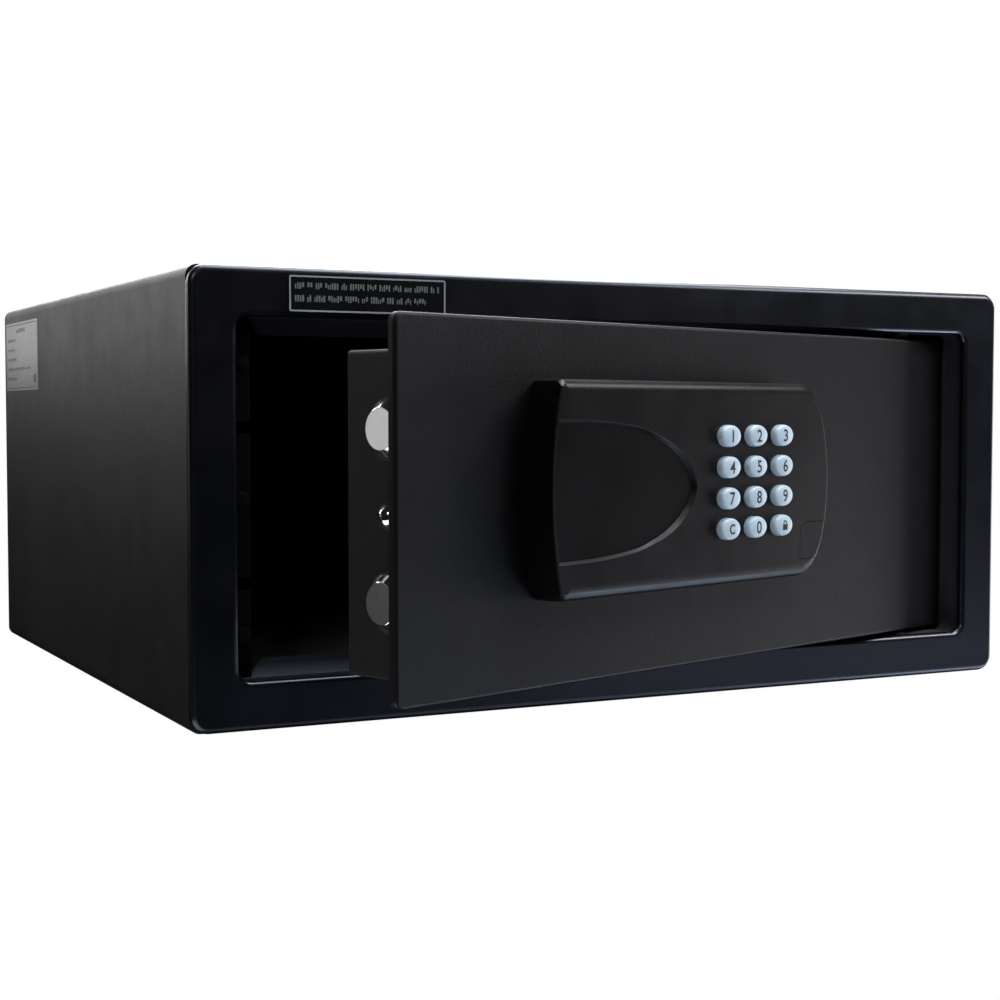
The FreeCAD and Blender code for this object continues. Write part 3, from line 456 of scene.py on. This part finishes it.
def prism(outline, y0, y1):
    """Closed prism from an (x, z) outline, between two y planes."""
    bm = bmesh.new()
    a = [bm.verts.new((x, y0, z)) for x, z in outline]
    b = [bm.verts.new((x, y1, z)) for x, z in outline]
    n = len(outline)
    bm.faces.new(a)
    bm.faces.new(list(reversed(b)))
    for i in range(n):
        bm.faces.new((a[i], b[i], b[(i + 1) % n], a[(i + 1) % n]))
    bmesh.ops.recalc_face_normals(bm, faces=bm.faces)
    return bm


def temp(bm, name):
    me = bpy.data.meshes.new(name)
    bm.to_mesh(me)
    bm.free()
    o = bpy.data.objects.new(name, me)
    SCENE.collection.objects.link(o)
    return o


def apply_all(o):
    dg = bpy.context.evaluated_depsgraph_get()
    me = bpy.data.meshes.new_from_object(o.evaluated_get(dg))
    o.modifiers.clear()
    old = o.data
    o.data = me
    bpy.data.meshes.remove(old)


def boolean(o, cutter, op="DIFFERENCE"):
    m = o.modifiers.new("b", "BOOLEAN")
    m.operation = op
    m.solver = "EXACT"
    m.object = cutter
    apply_all(o)
    bpy.data.objects.remove(cutter)


def finish_normals(o, angle):
    """Smooth rolls next to large flats: sharp creases by angle, normals weighted by face area."""
    shade(o.data, angle)
    m = o.modifiers.new("w", "WEIGHTED_NORMAL")
    m.mode = "FACE_AREA"
    m.weight = 60
    m.keep_sharp = True
    apply_all(o)


def arc_pts(cx, cz, rx, rz, a0, a1, n):
    return [(cx + rx * math.cos(math.radians(a0 + (a1 - a0) * i / n)), cz + rz * math.sin(math.radians(a0 + (a1 - a0) * i / n)))
            for i in range(n + 1)]


def circle3(p, q, r):
    """Centre and radius of the circle through three (x, z) points."""
    ax, az, bx, bz, cx, cz = *p, *q, *r
    d = 2 * (ax * (bz - cz) + bx * (cz - az) + cx * (az - bz))
    ux = ((ax * ax + az * az) * (bz - cz) + (bx * bx + bz * bz) * (cz - az) + (cx * cx + cz * cz) * (az - bz)) / d
    uz = ((ax * ax + az * az) * (cx - bx) + (bx * bx + bz * bz) * (ax - cx) + (cx * cx + cz * cz) * (bx - ax)) / d
    return ux, uz, math.hypot(ax - ux, az - uz)


# ------------------------------------------------------------------ keypad housing
PZ0, PZ1 = 59.3, 147.0
ZC = (PZ0 + PZ1) / 2
LX, LR = circle3((98.8, PZ0 - 6), (90.6, ZC), (98.8, PZ1 + 6))[0::2]
RX, RR_ = circle3((263.3, PZ0 - 6), (279.5, ZC), (263.3, PZ1 + 6))[0::2]


def left_x(z, grow=0.0):
    return LX - math.sqrt((LR + grow) ** 2 - (z - ZC) ** 2)


def right_x(z, grow=0.0):
    return RX + math.sqrt((RR_ + grow) ** 2 - (z - ZC) ** 2)


def corner_round(pts, i0, r, n=8):
    """Round the corner at index i0 of an open chain by radius r, near enough for a plastic corner."""
    p, a, b = Vector(pts[i0]), Vector(pts[i0 - 1]), Vector(pts[(i0 + 1) % len(pts)])
    u, v = (a - p).normalized(), (b - p).normalized()
    half = u.angle(v) / 2
    d = r / math.tan(half)
    c = p + (u + v).normalized() * (r / math.sin(half))
    s, e = p + u * d, p + v * d
    a0, a1 = math.atan2(s.y - c.y, s.x - c.x), math.atan2(e.y - c.y, e.x - c.x)
    da = (a1 - a0 + math.pi) % (2 * math.pi) - math.pi
    return [(c.x + r * math.cos(a0 + da * k / n), c.y + r * math.sin(a0 + da * k / n)) for k in range(n + 1)]


def pad_outline(grow=0.0, rr=11.0, rl=3.2, n=48):
    zb, zt = PZ0 - grow, PZ1 + grow
    quad = [(left_x(zb, grow), zb), (right_x(zb, grow), zb), (right_x(zt, grow), zt), (left_x(zt, grow), zt)]
    out = []
    # lower right corner, right arc, upper right corner, upper left corner, left arc, lower left corner

    def chain(z):
        return right_x(z, grow)
    # rounded corners are built against the chord, then the arcs are sampled between their ends
    dz = rr * 0.92
    lowr = corner_round([(180, zb), (right_x(zb, grow), zb), (right_x(zb + 20, grow), zb + 20)], 1, rr)
    upr = corner_round([(right_x(zt - 20, grow), zt - 20), (right_x(zt, grow), zt), (180, zt)], 1, rr)
    upl = corner_round([(180, zt), (left_x(zt, grow), zt), (left_x(zt - 10, grow), zt - 10)], 1, rl, 5)
    lowl = corner_round([(left_x(zb + 10, grow), zb + 10), (left_x(zb, grow), zb), (180, zb)], 1, rl, 5)
    z0, z1 = lowr[-1][1] + 0.6, upr[0][1] - 0.6
    right = [(right_x(z0 + (z1 - z0) * i / n, grow), z0 + (z1 - z0) * i / n) for i in range(n + 1)]
    z0, z1 = upl[-1][1] - 0.6, lowl[0][1] + 0.6
    left = [(left_x(z0 + (z1 - z0) * i / n, grow), z0 + (z1 - z0) * i / n) for i in range(n + 1)]
    return lowr + right + upr + upl + left + lowl


def offset_loop(pts, d):
    """Offset a closed loop inwards, point by point. d is one width or a list."""
    n = len(pts)
    area = sum(pts[i][0] * pts[(i + 1) % n][1] - pts[(i + 1) % n][0] * pts[i][1] for i in range(n))
    sg = 1.0 if area > 0 else -1.0
    out = []
    for i, p in enumerate(pts):
        q, r = pts[i - 1], pts[(i + 1) % n]
        t = Vector((r[0] - q[0], r[1] - q[1])).normalized()
        w = d[i] if isinstance(d, list) else d
        out.append((p[0] - sg * t.y * w, p[1] + sg * t.x * w))
    return out


def edge_roll(p):
    """Width and depth of the rolled front edge at a point of the keypad's outline."""
    x, z = p
    k = min(1.0, max(0.0, (abs(z - ZC) - 26.0) / 17.0)) ** 2.0
    if x < 112:
        side = (0.6, 0.6)
        k = min(1.0, max(0.0, (abs(z - ZC) - 40.6) / 3.1))
        k = k * k * (3 - 2 * k)
    else:
        side = (1.7, 1.3)
    if 106 < x < 262:
        k = 1.0
    wide = 4.8 if z > ZC else 6.8
    deep = 3.9 if z > ZC else 3.9
    return side[0] + (wide - side[0]) * k, side[1] + (deep - side[1]) * k


def shell_bm(grow=0.0, front=None, back=None, n=9):
    """Closed pillow: the outline's wall, a rolled front edge that changes width around the shell, and a flat face."""
    front = PF if front is None else front
    back = PY if back is None else back
    loop = pad_outline(grow)
    rolls = [edge_roll(p) for p in loop]
    bm = bmesh.new()
    rings = [[bm.verts.new((x, back, z)) for x, z in loop]]
    for k in range(n + 1):
        th = math.pi / 2 * k / n
        ring = offset_loop(loop, [w * (1 - math.cos(th)) for w, d in rolls])
        rings.append([bm.verts.new((x, front + d * (1 - math.sin(th)), z)) for (x, z), (w, d) in zip(ring, rolls)])
    m = len(loop)
    for a, b in zip(rings, rings[1:]):
        for i in range(m):
            bm.faces.new((a[i], a[(i + 1) % m], b[(i + 1) % m], b[i]))
    bm.faces.new(rings[0])
    bm.faces.new(list(reversed(rings[-1])))
    bmesh.ops.recalc_face_normals(bm, faces=bm.faces)
    return bm


def bevel(o, width, angle, segments=3):
    m = o.modifiers.new("v", "BEVEL")
    m.width = width
    m.segments = segments
    m.limit_method = "ANGLE"
    m.angle_limit = math.radians(angle)
    m.miter_outer = "MITER_ARC"
    m.harden_normals = False
    apply_all(o)


# D-shaped recess outline, (x, z)
DW = [(84.0, 131.0), (100.0, 131.0), (116.0, 130.6), (128.0, 129.8), (138.8, 128.6), (146.5, 127.2), (153.1, 125.3),
      (159.5, 123.3), (165.1, 120.9), (169.8, 118.2), (173.6, 115.1), (176.8, 111.8), (179.2, 108.2), (180.6, 105.4), (181.1, 102.5)]


def d_outline(off, n_mul=6):
    """Smooth D: Catmull-Rom through the measured points, mirrored, offset inwards."""
    up = DW
    low = [(x, 205.2 - z) for x, z in DW[:-1]][::-1]
    ctrl = up + low
    pts = []
    for i in range(len(ctrl) - 1):
        p0 = ctrl[max(i - 1, 0)]
        p1, p2 = ctrl[i], ctrl[i + 1]
        p3 = ctrl[min(i + 2, len(ctrl) - 1)]
        for k in range(n_mul):
            t = k / n_mul
            pts.append(tuple(0.5 * (2 * p1[j] + (p2[j] - p0[j]) * t + (2 * p0[j] - 5 * p1[j] + 4 * p2[j] - p3[j]) * t * t
                                    + (3 * p1[j] - p0[j] - 3 * p2[j] + p3[j]) * t ** 3) for j in (0, 1)))
    pts.append(ctrl[-1])
    if off == 0:
        return pts
    out = []
    for i, p in enumerate(pts):
        a, b = pts[max(i - 1, 0)], pts[min(i + 1, len(pts) - 1)]
        t = Vector((b[0] - a[0], b[1] - a[1])).normalized()
        u = min(1.0, max(0.0, (p[0] - 146.0) / 32.0))
        w = off * (0.58 + 0.62 * u * u * (3 - 2 * u)) if off > 0 else off
        out.append((p[0] + t.y * w, p[1] - t.x * w))
    return out


RIM, REC = 1.9, 1.25


def d_cutter():
    """Stepped cutter: rolled bevel from the face down to the flat of the window."""
    steps = [(-0.30, PF - 6.0), (-0.30, PF - 0.10), (0.0, PF + 0.05), (0.25, PF + 0.16), (RIM * 0.5, PF + REC * 0.50),
             (RIM - 0.28, PF + REC - 0.14), (RIM - 0.05, PF + REC - 0.01), (RIM, PF + REC + 0.02), (RIM, PF + REC + 1.25)]
    bm = bmesh.new()
    rings = []
    for off, y in steps:
        rings.append([bm.verts.new((x, y, z)) for x, z in d_outline(off)])
    n = len(rings[0])
    for a, b in zip(rings, rings[1:]):
        for i in range(n):
            bm.faces.new((a[i], b[i], b[(i + 1) % n], a[(i + 1) % n]))
    bm.faces.new(rings[0])
    bm.faces.new(list(reversed(rings[-1])))
    bmesh.ops.recalc_face_normals(bm, faces=bm.faces)
    return temp(bm, "d_cut")


def ellipse(cx, cz, rx, rz, n=48):
    return [(cx + rx * math.cos(2 * math.pi * i / n), cz + rz * math.sin(2 * math.pi * i / n)) for i in range(n)]


def port_outline(grow=0.0):
    x0, z1, z0 = 257.0 - grow, 84.0 + grow, 67.5 - grow
    r = 6.0 + grow
    pts = [(x0, z0), (300.0, z0), (300.0, z1)]
    pts += arc_pts(x0 + r, z1 - r, r, r, 90, 180, 10)
    return pts


def build_pad():
    o = temp(shell_bm(), "keypad_shell")
    boolean(o, temp(prism(pad_outline(-2.0, 9.0, 3.0), PF + 3.4, PY + 1), "inner"))
    d = d_cutter()
    boolean(d, temp(prism(pad_outline(-1.5, 9.5, 3.5), -40, 10), "keep"), "INTERSECT")
    boolean(o, d)
    for x in KEY_X:
        for z in KEY_Z:
            boolean(o, temp(prism(ellipse(x, z, KEY_RX + 0.35, KEY_RZ + 0.35), PF - 3, PF + 6), "k"))
    boolean(o, temp(prism(port_outline(0.22), PF - 5, PF + 2.4), "p"))
    bevel(o, 0.14, 60, 2)
    return o


pad = build_pad()
finish_normals(pad, 40)
pad.data.transform(M_DOOR)
pad.name = "keypad_shell"
pad.data.materials.clear()
pad.data.materials.append(M["keypad_plastic"])
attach(pad, "door")
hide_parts("keypad_housing")

# port cover, cut from the same envelope so that it lies flush
pc = temp(shell_bm(-0.02, PF + 0.02), "port_door")
boolean(pc, temp(prism(port_outline(0.0), PF - 5, PF + 2.0), "pp"), "INTERSECT")
bevel(pc, 0.18, 55, 2)
finish_normals(pc, 40)
pc.data.transform(M_DOOR)
pc.data.materials.clear()
pc.data.materials.append(M["keypad_plastic"])
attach(pc, "port_cover")
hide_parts("port_cover")


# display window: flat smoked panel that fills the bottom of the D
def build_window():
    o = temp(prism(d_outline(RIM + 0.10), PF + REC + 0.02, PF + REC + 1.2), "display_panel")
    env = temp(prism(pad_outline(-1.62, 9.5, 3.5), -30, PY), "e")
    boolean(o, env, "INTERSECT")
    bevel(o, 0.10, 50, 2)
    return o


win = build_window()
finish_normals(win, 35)
win.data.transform(M_DOOR)
win.data.materials.clear()
win.data.materials.append(M["window_plastic"])
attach(win, "door")
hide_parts("display_window")


# ------------------------------------------------------------------ keys
KEY_TOP = PF - 3.2


def key_y(u, v):
    """Height of the key's cap over its own oval, u and v from -1 to 1."""
    r2 = u * u + v * v
    return KEY_TOP + 0.75 * min(r2, 1.0) ** 1.6


def build_key(name, cx, cz):
    bm = bmesh.new()
    n = 56
    prof = [(1.16, PF + 6.4), (1.18, PF + 6.1), (1.18, PF + 4.4), (1.16, PF + 4.2), (1.0, PF + 4.2), (1.0, PF + 1.0), (0.995, PF - 0.6),
            (0.985, PF - 1.4), (0.965, PF - 1.95), (0.93, PF - 2.35)]
    rings = [[bm.verts.new((cx + KEY_RX * s * math.cos(2 * math.pi * i / n), y, cz + KEY_RZ * s * math.sin(2 * math.pi * i / n)))
              for i in range(n)] for s, y in prof]
    for s in (0.88, 0.80, 0.68, 0.54, 0.38, 0.2):
        y = KEY_TOP + 0.85 * s ** 3.2
        rings.append([bm.verts.new((cx + KEY_RX * s * math.cos(2 * math.pi * i / n), y, cz + KEY_RZ * s * math.sin(2 * math.pi * i / n)))
                      for i in range(n)])
    tip = bm.verts.new((cx, KEY_TOP, cz))
    for a, b in zip(rings, rings[1:]):
        for i in range(n):
            bm.faces.new((a[i], a[(i + 1) % n], b[(i + 1) % n], b[i]))
    for i in range(n):
        bm.faces.new((rings[-1][i], rings[-1][(i + 1) % n], tip))
    bm.faces.new(list(reversed(rings[0])))
    return add(name + "_cap", bm, M_DOOR, name, M["key_plastic"], (name,), 60)


def text_mesh(s, size, depth=0.05, bold=0.0):
    """Flat glyphs as a mesh in x and z, centred on the origin, size in millimetres."""
    cu = bpy.data.curves.new("t", "FONT")
    cu.body = s
    cu.size = size
    cu.align_x = "CENTER"
    cu.align_y = "CENTER"
    cu.offset = bold
    cu.resolution_u = 6
    cu.fill_mode = "FRONT"
    o = bpy.data.objects.new("t", cu)
    SCENE.collection.objects.link(o)
    dg = bpy.context.evaluated_depsgraph_get()
    me = bpy.data.meshes.new_from_object(o.evaluated_get(dg))
    bpy.data.objects.remove(o)
    bpy.data.curves.remove(cu)
    bm = bmesh.new()
    bm.from_mesh(me)
    bpy.data.meshes.remove(me)
    bmesh.ops.remove_doubles(bm, verts=bm.verts, dist=1e-5)
    xs = [v.co.x for v in bm.verts]
    ys = [v.co.y for v in bm.verts]
    mx, my = (min(xs) + max(xs)) / 2, (min(ys) + max(ys)) / 2
    for v in bm.verts:
        v.co = Vector((v.co.x - mx, 0, v.co.y - my))
    return bm


def slab(bm, depth):
    """Give flat glyph faces a small thickness towards -y."""
    faces = list(bm.faces)
    r = bmesh.ops.extrude_face_region(bm, geom=faces)
    vs = [g for g in r["geom"] if isinstance(g, bmesh.types.BMVert)]
    bmesh.ops.translate(bm, verts=vs, vec=(0, -depth, 0))
    return bm


def rect_bm(bm, x0, x1, z0, z1, y):
    v = [bm.verts.new(p) for p in ((x0, y, z0), (x1, y, z0), (x1, y, z1), (x0, y, z1))]
    bm.faces.new(v)


def padlock_bm():
    """Small padlock sign: a body and a shackle."""
    bm = bmesh.new()
    rect_bm(bm, -1.15, 1.15, -1.35, 0.30, 0)
    n = 14
    outer = [(0.85 * math.cos(math.pi * i / n), 0.65 + 0.85 * math.sin(math.pi * i / n)) for i in range(n + 1)]
    inner = [(0.45 * math.cos(math.pi * i / n), 0.65 + 0.45 * math.sin(math.pi * i / n)) for i in range(n + 1)]
    outer = [(0.85, 0.30)] + outer + [(-0.85, 0.30)]
    inner = [(0.45, 0.30)] + inner + [(-0.45, 0.30)]
    vo = [bm.verts.new((x, 0, z)) for x, z in outer]
    vi = [bm.verts.new((x, 0, z)) for x, z in inner]
    for i in range(len(vo) - 1):
        bm.faces.new((vo[i], vo[i + 1], vi[i + 1], vi[i]))
    return bm


def legend(name, bm, cx, cz, scale_x=1.0):
    """Lay a flat glyph on the domed cap and print it 0.03 mm proud."""
    bmesh.ops.triangulate(bm, faces=bm.faces)
    for _ in range(4):
        long = [e for e in bm.edges if e.calc_length() > 0.45]
        if not long:
            break
        bmesh.ops.subdivide_edges(bm, edges=long, cuts=1)
        bmesh.ops.triangulate(bm, faces=[f for f in bm.faces if len(f.verts) > 3])
    slab(bm, 0.03)
    bmesh.ops.recalc_face_normals(bm, faces=bm.faces)
    for v in bm.verts:
        x, z = v.co.x * scale_x, v.co.z
        s = min(1.0, math.hypot(x / KEY_RX, z / KEY_RZ))
        v.co = Vector((cx + x, KEY_TOP + 0.85 * s ** 3.2 - 0.004 + v.co.y, cz + z))
    return add(name + "_legend", bm, M_DOOR, name, M["legend_black"])


ROWS = [["key_1", "key_2", "key_3"], ["key_4", "key_5", "key_6"], ["key_7", "key_8", "key_9"], ["key_clear", "key_0", "key_lock"]]
for r, z in enumerate(KEY_Z):
    for c, x in enumerate(KEY_X):
        nm = ROWS[r][c]
        build_key(nm, x, z)
        if nm == "key_lock":
            g = padlock_bm()
            bmesh.ops.scale(g, vec=(1.55, 1.0, 1.55), verts=g.verts)
        elif nm == "key_clear":
            g = text_mesh("C", 6.0, bold=0.12)
        else:
            g = text_mesh(nm[-1], 7.6, bold=0.10)
        legend(nm, g, x, z)


# ------------------------------------------------------------------ printed plates, with no wording
def bars(rows, x0, z_top, pitch, h, y, seed, fine=1.0):
    """Rows of small ticks in word-long groups: they stand for lines of print and spell nothing."""
    bm = bmesh.new()
    s = seed
    for k, width in enumerate(rows):
        z = z_top - k * pitch
        x = x0
        while x < x0 + width:
            s = (s * 1103515245 + 12345) % 2147483648
            n = 2 + int(5 * (s / 2147483648.0))
            for _ in range(n):
                s = (s * 1103515245 + 12345) % 2147483648
                q = s / 2147483648.0
                w = (0.42 + 0.50 * q) * fine
                if x + w > x0 + width:
                    break
                lo = z - h * (1.0 if q < 0.75 else 0.72)
                rect_bm(bm, x, x + w, lo, z - h * (0.28 if q < 0.3 else 0.0), y)
                x += w + 0.42 * fine
            x += 1.05 * fine
    return bm


def border(x0, x1, z0, z1, t, y, r=0.9):
    bm = bmesh.new()

    def loop(d, rad):
        p = []
        for cx, cz, a in ((x1 - d - rad, z0 + d + rad, -90), (x1 - d - rad, z1 - d - rad, 0), (x0 + d + rad, z1 - d - rad, 90), (x0 + d + rad, z0 + d + rad, 180)):
            p += arc_pts(cx, cz, rad, rad, a, a + 90, 6)
        return p
    o, i = loop(0.0, r), loop(t, max(r - t, 0.25))
    vo = [bm.verts.new((x, y, z)) for x, z in o]
    vi = [bm.verts.new((x, y, z)) for x, z in i]
    n = len(vo)
    for k in range(n):
        bm.faces.new((vo[k], vo[(k + 1) % n], vi[(k + 1) % n], vi[k]))
    return bm


PLY = -0.35
b = border(43.50, 115.60, 176.36, 191.54, 0.70, PLY)
add("plate_border_print", slab(b, 0.03), M_SHOP, "safe_body", M["print_silver"])
b = bars([66.5, 61.0], 46.0, 188.6, 5.35, 2.7, PLY, 7)
add("plate_line_print", slab(b, 0.03), M_SHOP, "safe_body", M["print_white"])

# rating label on the left side: frame line, heading bar, rows of dashes and a plain square mark.
# It is drawn in x and z, then turned on to the left side, where x runs from the rear edge forwards.
M_SIDE = M_SHOP @ Matrix.Translation((-0.15, 374.5, 147.0)) @ Matrix.Rotation(math.radians(-90), 4, "Z")


def side_add(name, bm, mat):
    return add(name, bm, M_SIDE, "safe_body", mat)


side_add("label_border_print", slab(border(1.2, 85.8, 1.2, 38.2, 0.5, 0.0, 1.6), 0.02), M["print_dark"])
b = bars([24.0], 30.0, 35.8, 4, 2.4, 0.0, 3, 1.3)
side_add("label_head_print", slab(b, 0.02), M["print_dark"])
b = bars([22.0, 20.0, 24.0, 62.0, 26.0], 5.0, 30.2, 5.6, 1.8, 0.0, 11)
side_add("label_line_print", slab(b, 0.02), M["print_dark"])
bm = bmesh.new()
rect_bm(bm, 76.0, 82.0, 4.0, 8.6, 0.0)
side_add("label_mark_print", slab(bm, 0.02), M["print_dark"])


# ------------------------------------------------------------------ floor mat of the cavity, needled felt
def build_mat():
    x0, x1, y0, y1, zt, zb = 5.9, 424.1, 53.4, 361.6, 4.75, 2.05
    bm = bmesh.new()
    nx, ny = 72, 54

    def zz(x, y):
        e = min(x - x0, x1 - x, y - y0, y1 - y)
        crown = 0.22 * math.sin(x * 0.021 + 0.6) * math.sin(y * 0.027) - 0.10
        edge = -0.9 * max(0.0, 1 - e / 2.2) ** 2
        return zt + crown + edge
    grid = [[bm.verts.new((x0 + (x1 - x0) * i / nx, y0 + (y1 - y0) * j / ny, 0)) for j in range(ny + 1)] for i in range(nx + 1)]
    for i in range(nx):
        for j in range(ny):
            bm.faces.new((grid[i][j], grid[i + 1][j], grid[i + 1][j + 1], grid[i][j + 1]))
    o = temp(bm, "cavity_mat")
    # anchor clearance holes
    for sx in (-1, 1):
        for sy in (-1, 1):
            cut = bmesh.new()
            bmesh.ops.create_cone(cut, cap_ends=True, segments=40, radius1=13.2, radius2=13.2, depth=20,
                                  matrix=Matrix.Translation((215 + sx * 150, 190 + sy * 100, 0)))
            boolean(o, temp(cut, "h"))
    m = bmesh.new()
    m.from_mesh(o.data)
    res = bmesh.ops.solidify(m, geom=list(m.faces), thickness=-1.0)
    for v in m.verts:
        top = v.co.z > 0.5 or v.co.z < -0.5
        v.co.z = zz(v.co.x, v.co.y) if top else zb
    bmesh.ops.recalc_face_normals(m, faces=m.faces)
    m.to_mesh(o.data)
    m.free()
    return o


matp = build_mat()
matp.data.transform(M_SHOP)
matp.data.materials.clear()
matp.data.materials.append(M["felt"])
shade(matp.data, 50)
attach(matp, "safe_body")
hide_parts("floor_mat")

# ------------------------------------------------------------------ camera
cam_data = bpy.data.cameras.new("camera")
cam_data.sensor_width = 36.0
cam_data.lens = 63.41
cam = bpy.data.objects.new("camera", cam_data)
SCENE.collection.objects.link(cam)
cam.location = (-0.4248, -0.8928, 0.1332)
yaw, pitch = math.radians(26.621), math.radians(-2.788)
look = Vector((math.sin(yaw) * math.cos(pitch), math.cos(yaw) * math.cos(pitch), math.sin(pitch)))
cam.rotation_mode = "QUATERNION"
cam.rotation_quaternion = look.to_track_quat("-Z", "Y")
cam_data.clip_start, cam_data.clip_end = 0.01, 50.0
SCENE.camera = cam

# ------------------------------------------------------------------ floor and light
# Plain seamless white sheet under the safe. The light from below it stands for what a glossy white table gives back,
# so the sheet itself is left out of shadows and reflections.
bm = bmesh.new()
ring = [bm.verts.new((14.0 * math.cos(2 * math.pi * i / 96), 14.0 * math.sin(2 * math.pi * i / 96), -0.0006)) for i in range(96)]
bm.faces.new(ring)
fl = bpy.data.meshes.new("floor_sheet")
bm.to_mesh(fl)
bm.free()
floor = bpy.data.objects.new("floor_sheet", fl)
SCENE.collection.objects.link(floor)
fm = bpy.data.materials.new("white_sheet")
fm.use_nodes = True
fn = fm.node_tree
fn.nodes.clear()
fo = fn.nodes.new("ShaderNodeOutputMaterial")
fe = fn.nodes.new("ShaderNodeEmission")
fe.inputs["Color"].default_value = (1.0, 1.0, 1.0, 1)
fe.inputs["Strength"].default_value = 1.0
fn.links.new(fe.outputs[0], fo.inputs["Surface"])
fl.materials.append(fm)
floor.visible_shadow = False
floor.visible_diffuse = False
floor.visible_glossy = False
floor.visible_transmission = False

def area(name, loc, target, size, energy, color=(1, 1, 1), size_y=None):
    d = bpy.data.lights.new(name, "AREA")
    d.energy = energy
    d.color = color
    d.size = size
    if size_y:
        d.shape = "RECTANGLE"
        d.size_y = size_y
    o = bpy.data.objects.new(name, d)
    SCENE.collection.objects.link(o)
    o.location = loc
    o.rotation_mode = "QUATERNION"
    o.rotation_quaternion = (Vector(target) - Vector(loc)).to_track_quat("-Z", "Y")
    o.visible_camera = False
    return o


MID = Vector((0.0, -0.10, 0.10))


def dome(name, az, el, energy, size=1.1, color=(1, 1, 1)):
    """A softbox on a circle of 2.2 m; az 0 is straight in front, positive to the right."""
    a, e = math.radians(az), math.radians(el)
    d = Vector((math.sin(a) * math.cos(e), -math.cos(a) * math.cos(e), math.sin(e)))
    return area(name, MID + d * 2.2, MID, size, energy, color, size)


area("side_wash", (-0.55, 0.25, 0.50), (-0.215, 0.10, 0.19), 0.25, 0.35, (1.0, 1.0, 1.0), 0.5)
area("side_top_wash", (-0.30, 0.03, 0.32), (-0.215, 0.04, 0.18), 0.06, 0.78, (1.0, 1.0, 1.0), 0.42)
area("side_back", (-0.58, 1.43, 0.54), (-0.215, 0.02, 0.17), 0.9, 2.2, (1.0, 1.0, 1.0), 0.7)
area("front_top_right", (0.55, -0.55, 0.55), (0.15, -0.20, 0.19), 0.5, 3.6, (0.98, 0.98, 1.0), 0.2)
area("low_left_bounce", (-0.45, -0.35, -0.35), (-0.10, -0.20, 0.03), 0.6, 1.7, (0.92, 0.96, 1.0), 0.4)
area("key_front_left", (-0.95, -1.35, 0.95), (0.0, -0.22, 0.10), 0.5, 2.75, (1.0, 1.0, 1.0), 0.5)
dome("overhead", 80, 76, 54, 1.9, color=(0.88, 0.95, 1.0))
area("top_strip", (0.62, -0.20, 1.40), (0.0, -0.20, 0.17), 1.6, 9.4, (0.82, 0.92, 1.0), 0.22)
area("under_front", (0.25, -0.75, -0.75), (0.10, -0.22, 0.03), 1.2, 1.3, (0.66, 0.80, 1.0), 0.3)
area("under_right", (0.97, -0.55, -0.65), (0.10, -0.22, 0.03), 0.6, 4.4, (0.66, 0.80, 1.0), 0.3)
area("backdrop", (0.95, 1.6, 0.70), (0.15, 0.0, 0.15), 2.3, 2.0, (0.93, 0.97, 1.0), 1.1)
dome("back_fill", 163, 32, 48, 1.6, color=(0.96, 0.98, 1.0))
dome("right_back_low", 94, -10, 8.2, color=(1.0, 0.95, 0.99))
dome("low_right", 86, -16, 2.0, color=(0.98, 0.94, 1.0))
dome("low_front_right", 40, -22, 3.6, color=(0.76, 0.85, 1.0))
area("bolt_panel", (-1.566, 0.526, 0.22), (-0.19, -0.29, 0.12), 0.45, 0.36, (1.0, 1.0, 1.0), 0.44)
area("bolt_panel_low", (-1.566, 0.526, -0.28), (-0.19, -0.29, 0.06), 0.45, 0.040, (1.0, 1.0, 1.0), 0.50)

world = bpy.data.worlds.new("studio")
SCENE.world = world
world.use_nodes = True
wt = world.node_tree
wt.nodes.clear()
wo = wt.nodes.new("ShaderNodeOutputWorld")
seen = wt.nodes.new("ShaderNodeBackground")
seen.inputs[0].default_value = (1.0, 1.0, 1.0, 1)
seen.inputs[1].default_value = 1.0
lit = wt.nodes.new("ShaderNodeBackground")
lit.inputs[1].default_value = 0.012
tcw = wt.nodes.new("ShaderNodeTexCoord")
sep = wt.nodes.new("ShaderNodeSeparateXYZ")
wt.links.new(tcw.outputs["Generated"], sep.inputs[0])
rampw = wt.nodes.new("ShaderNodeValToRGB")
rampw.color_ramp.elements[0].position = 0.0
rampw.color_ramp.elements[0].color = (0.62, 0.62, 0.63, 1)
rampw.color_ramp.elements[1].position = 1.0
rampw.color_ramp.elements[1].color = (1.0, 1.0, 1.0, 1)
mapw = wt.nodes.new("ShaderNodeMapRange")
mapw.inputs[1].default_value = -0.2
mapw.inputs[2].default_value = 1.0
wt.links.new(sep.outputs[2], mapw.inputs[0])
wt.links.new(mapw.outputs[0], rampw.inputs[0])
wt.links.new(rampw.outputs[0], lit.inputs[0])
lp = wt.nodes.new("ShaderNodeLightPath")
mixw = wt.nodes.new("ShaderNodeMixShader")
wt.links.new(lp.outputs["Is Camera Ray"], mixw.inputs[0])
wt.links.new(lit.outputs[0], mixw.inputs[1])
wt.links.new(seen.outputs[0], mixw.inputs[2])
wt.links.new(mixw.outputs[0], wo.inputs[0])

SCENE.view_settings.view_transform = "Standard"
SCENE.view_settings.look = "None"
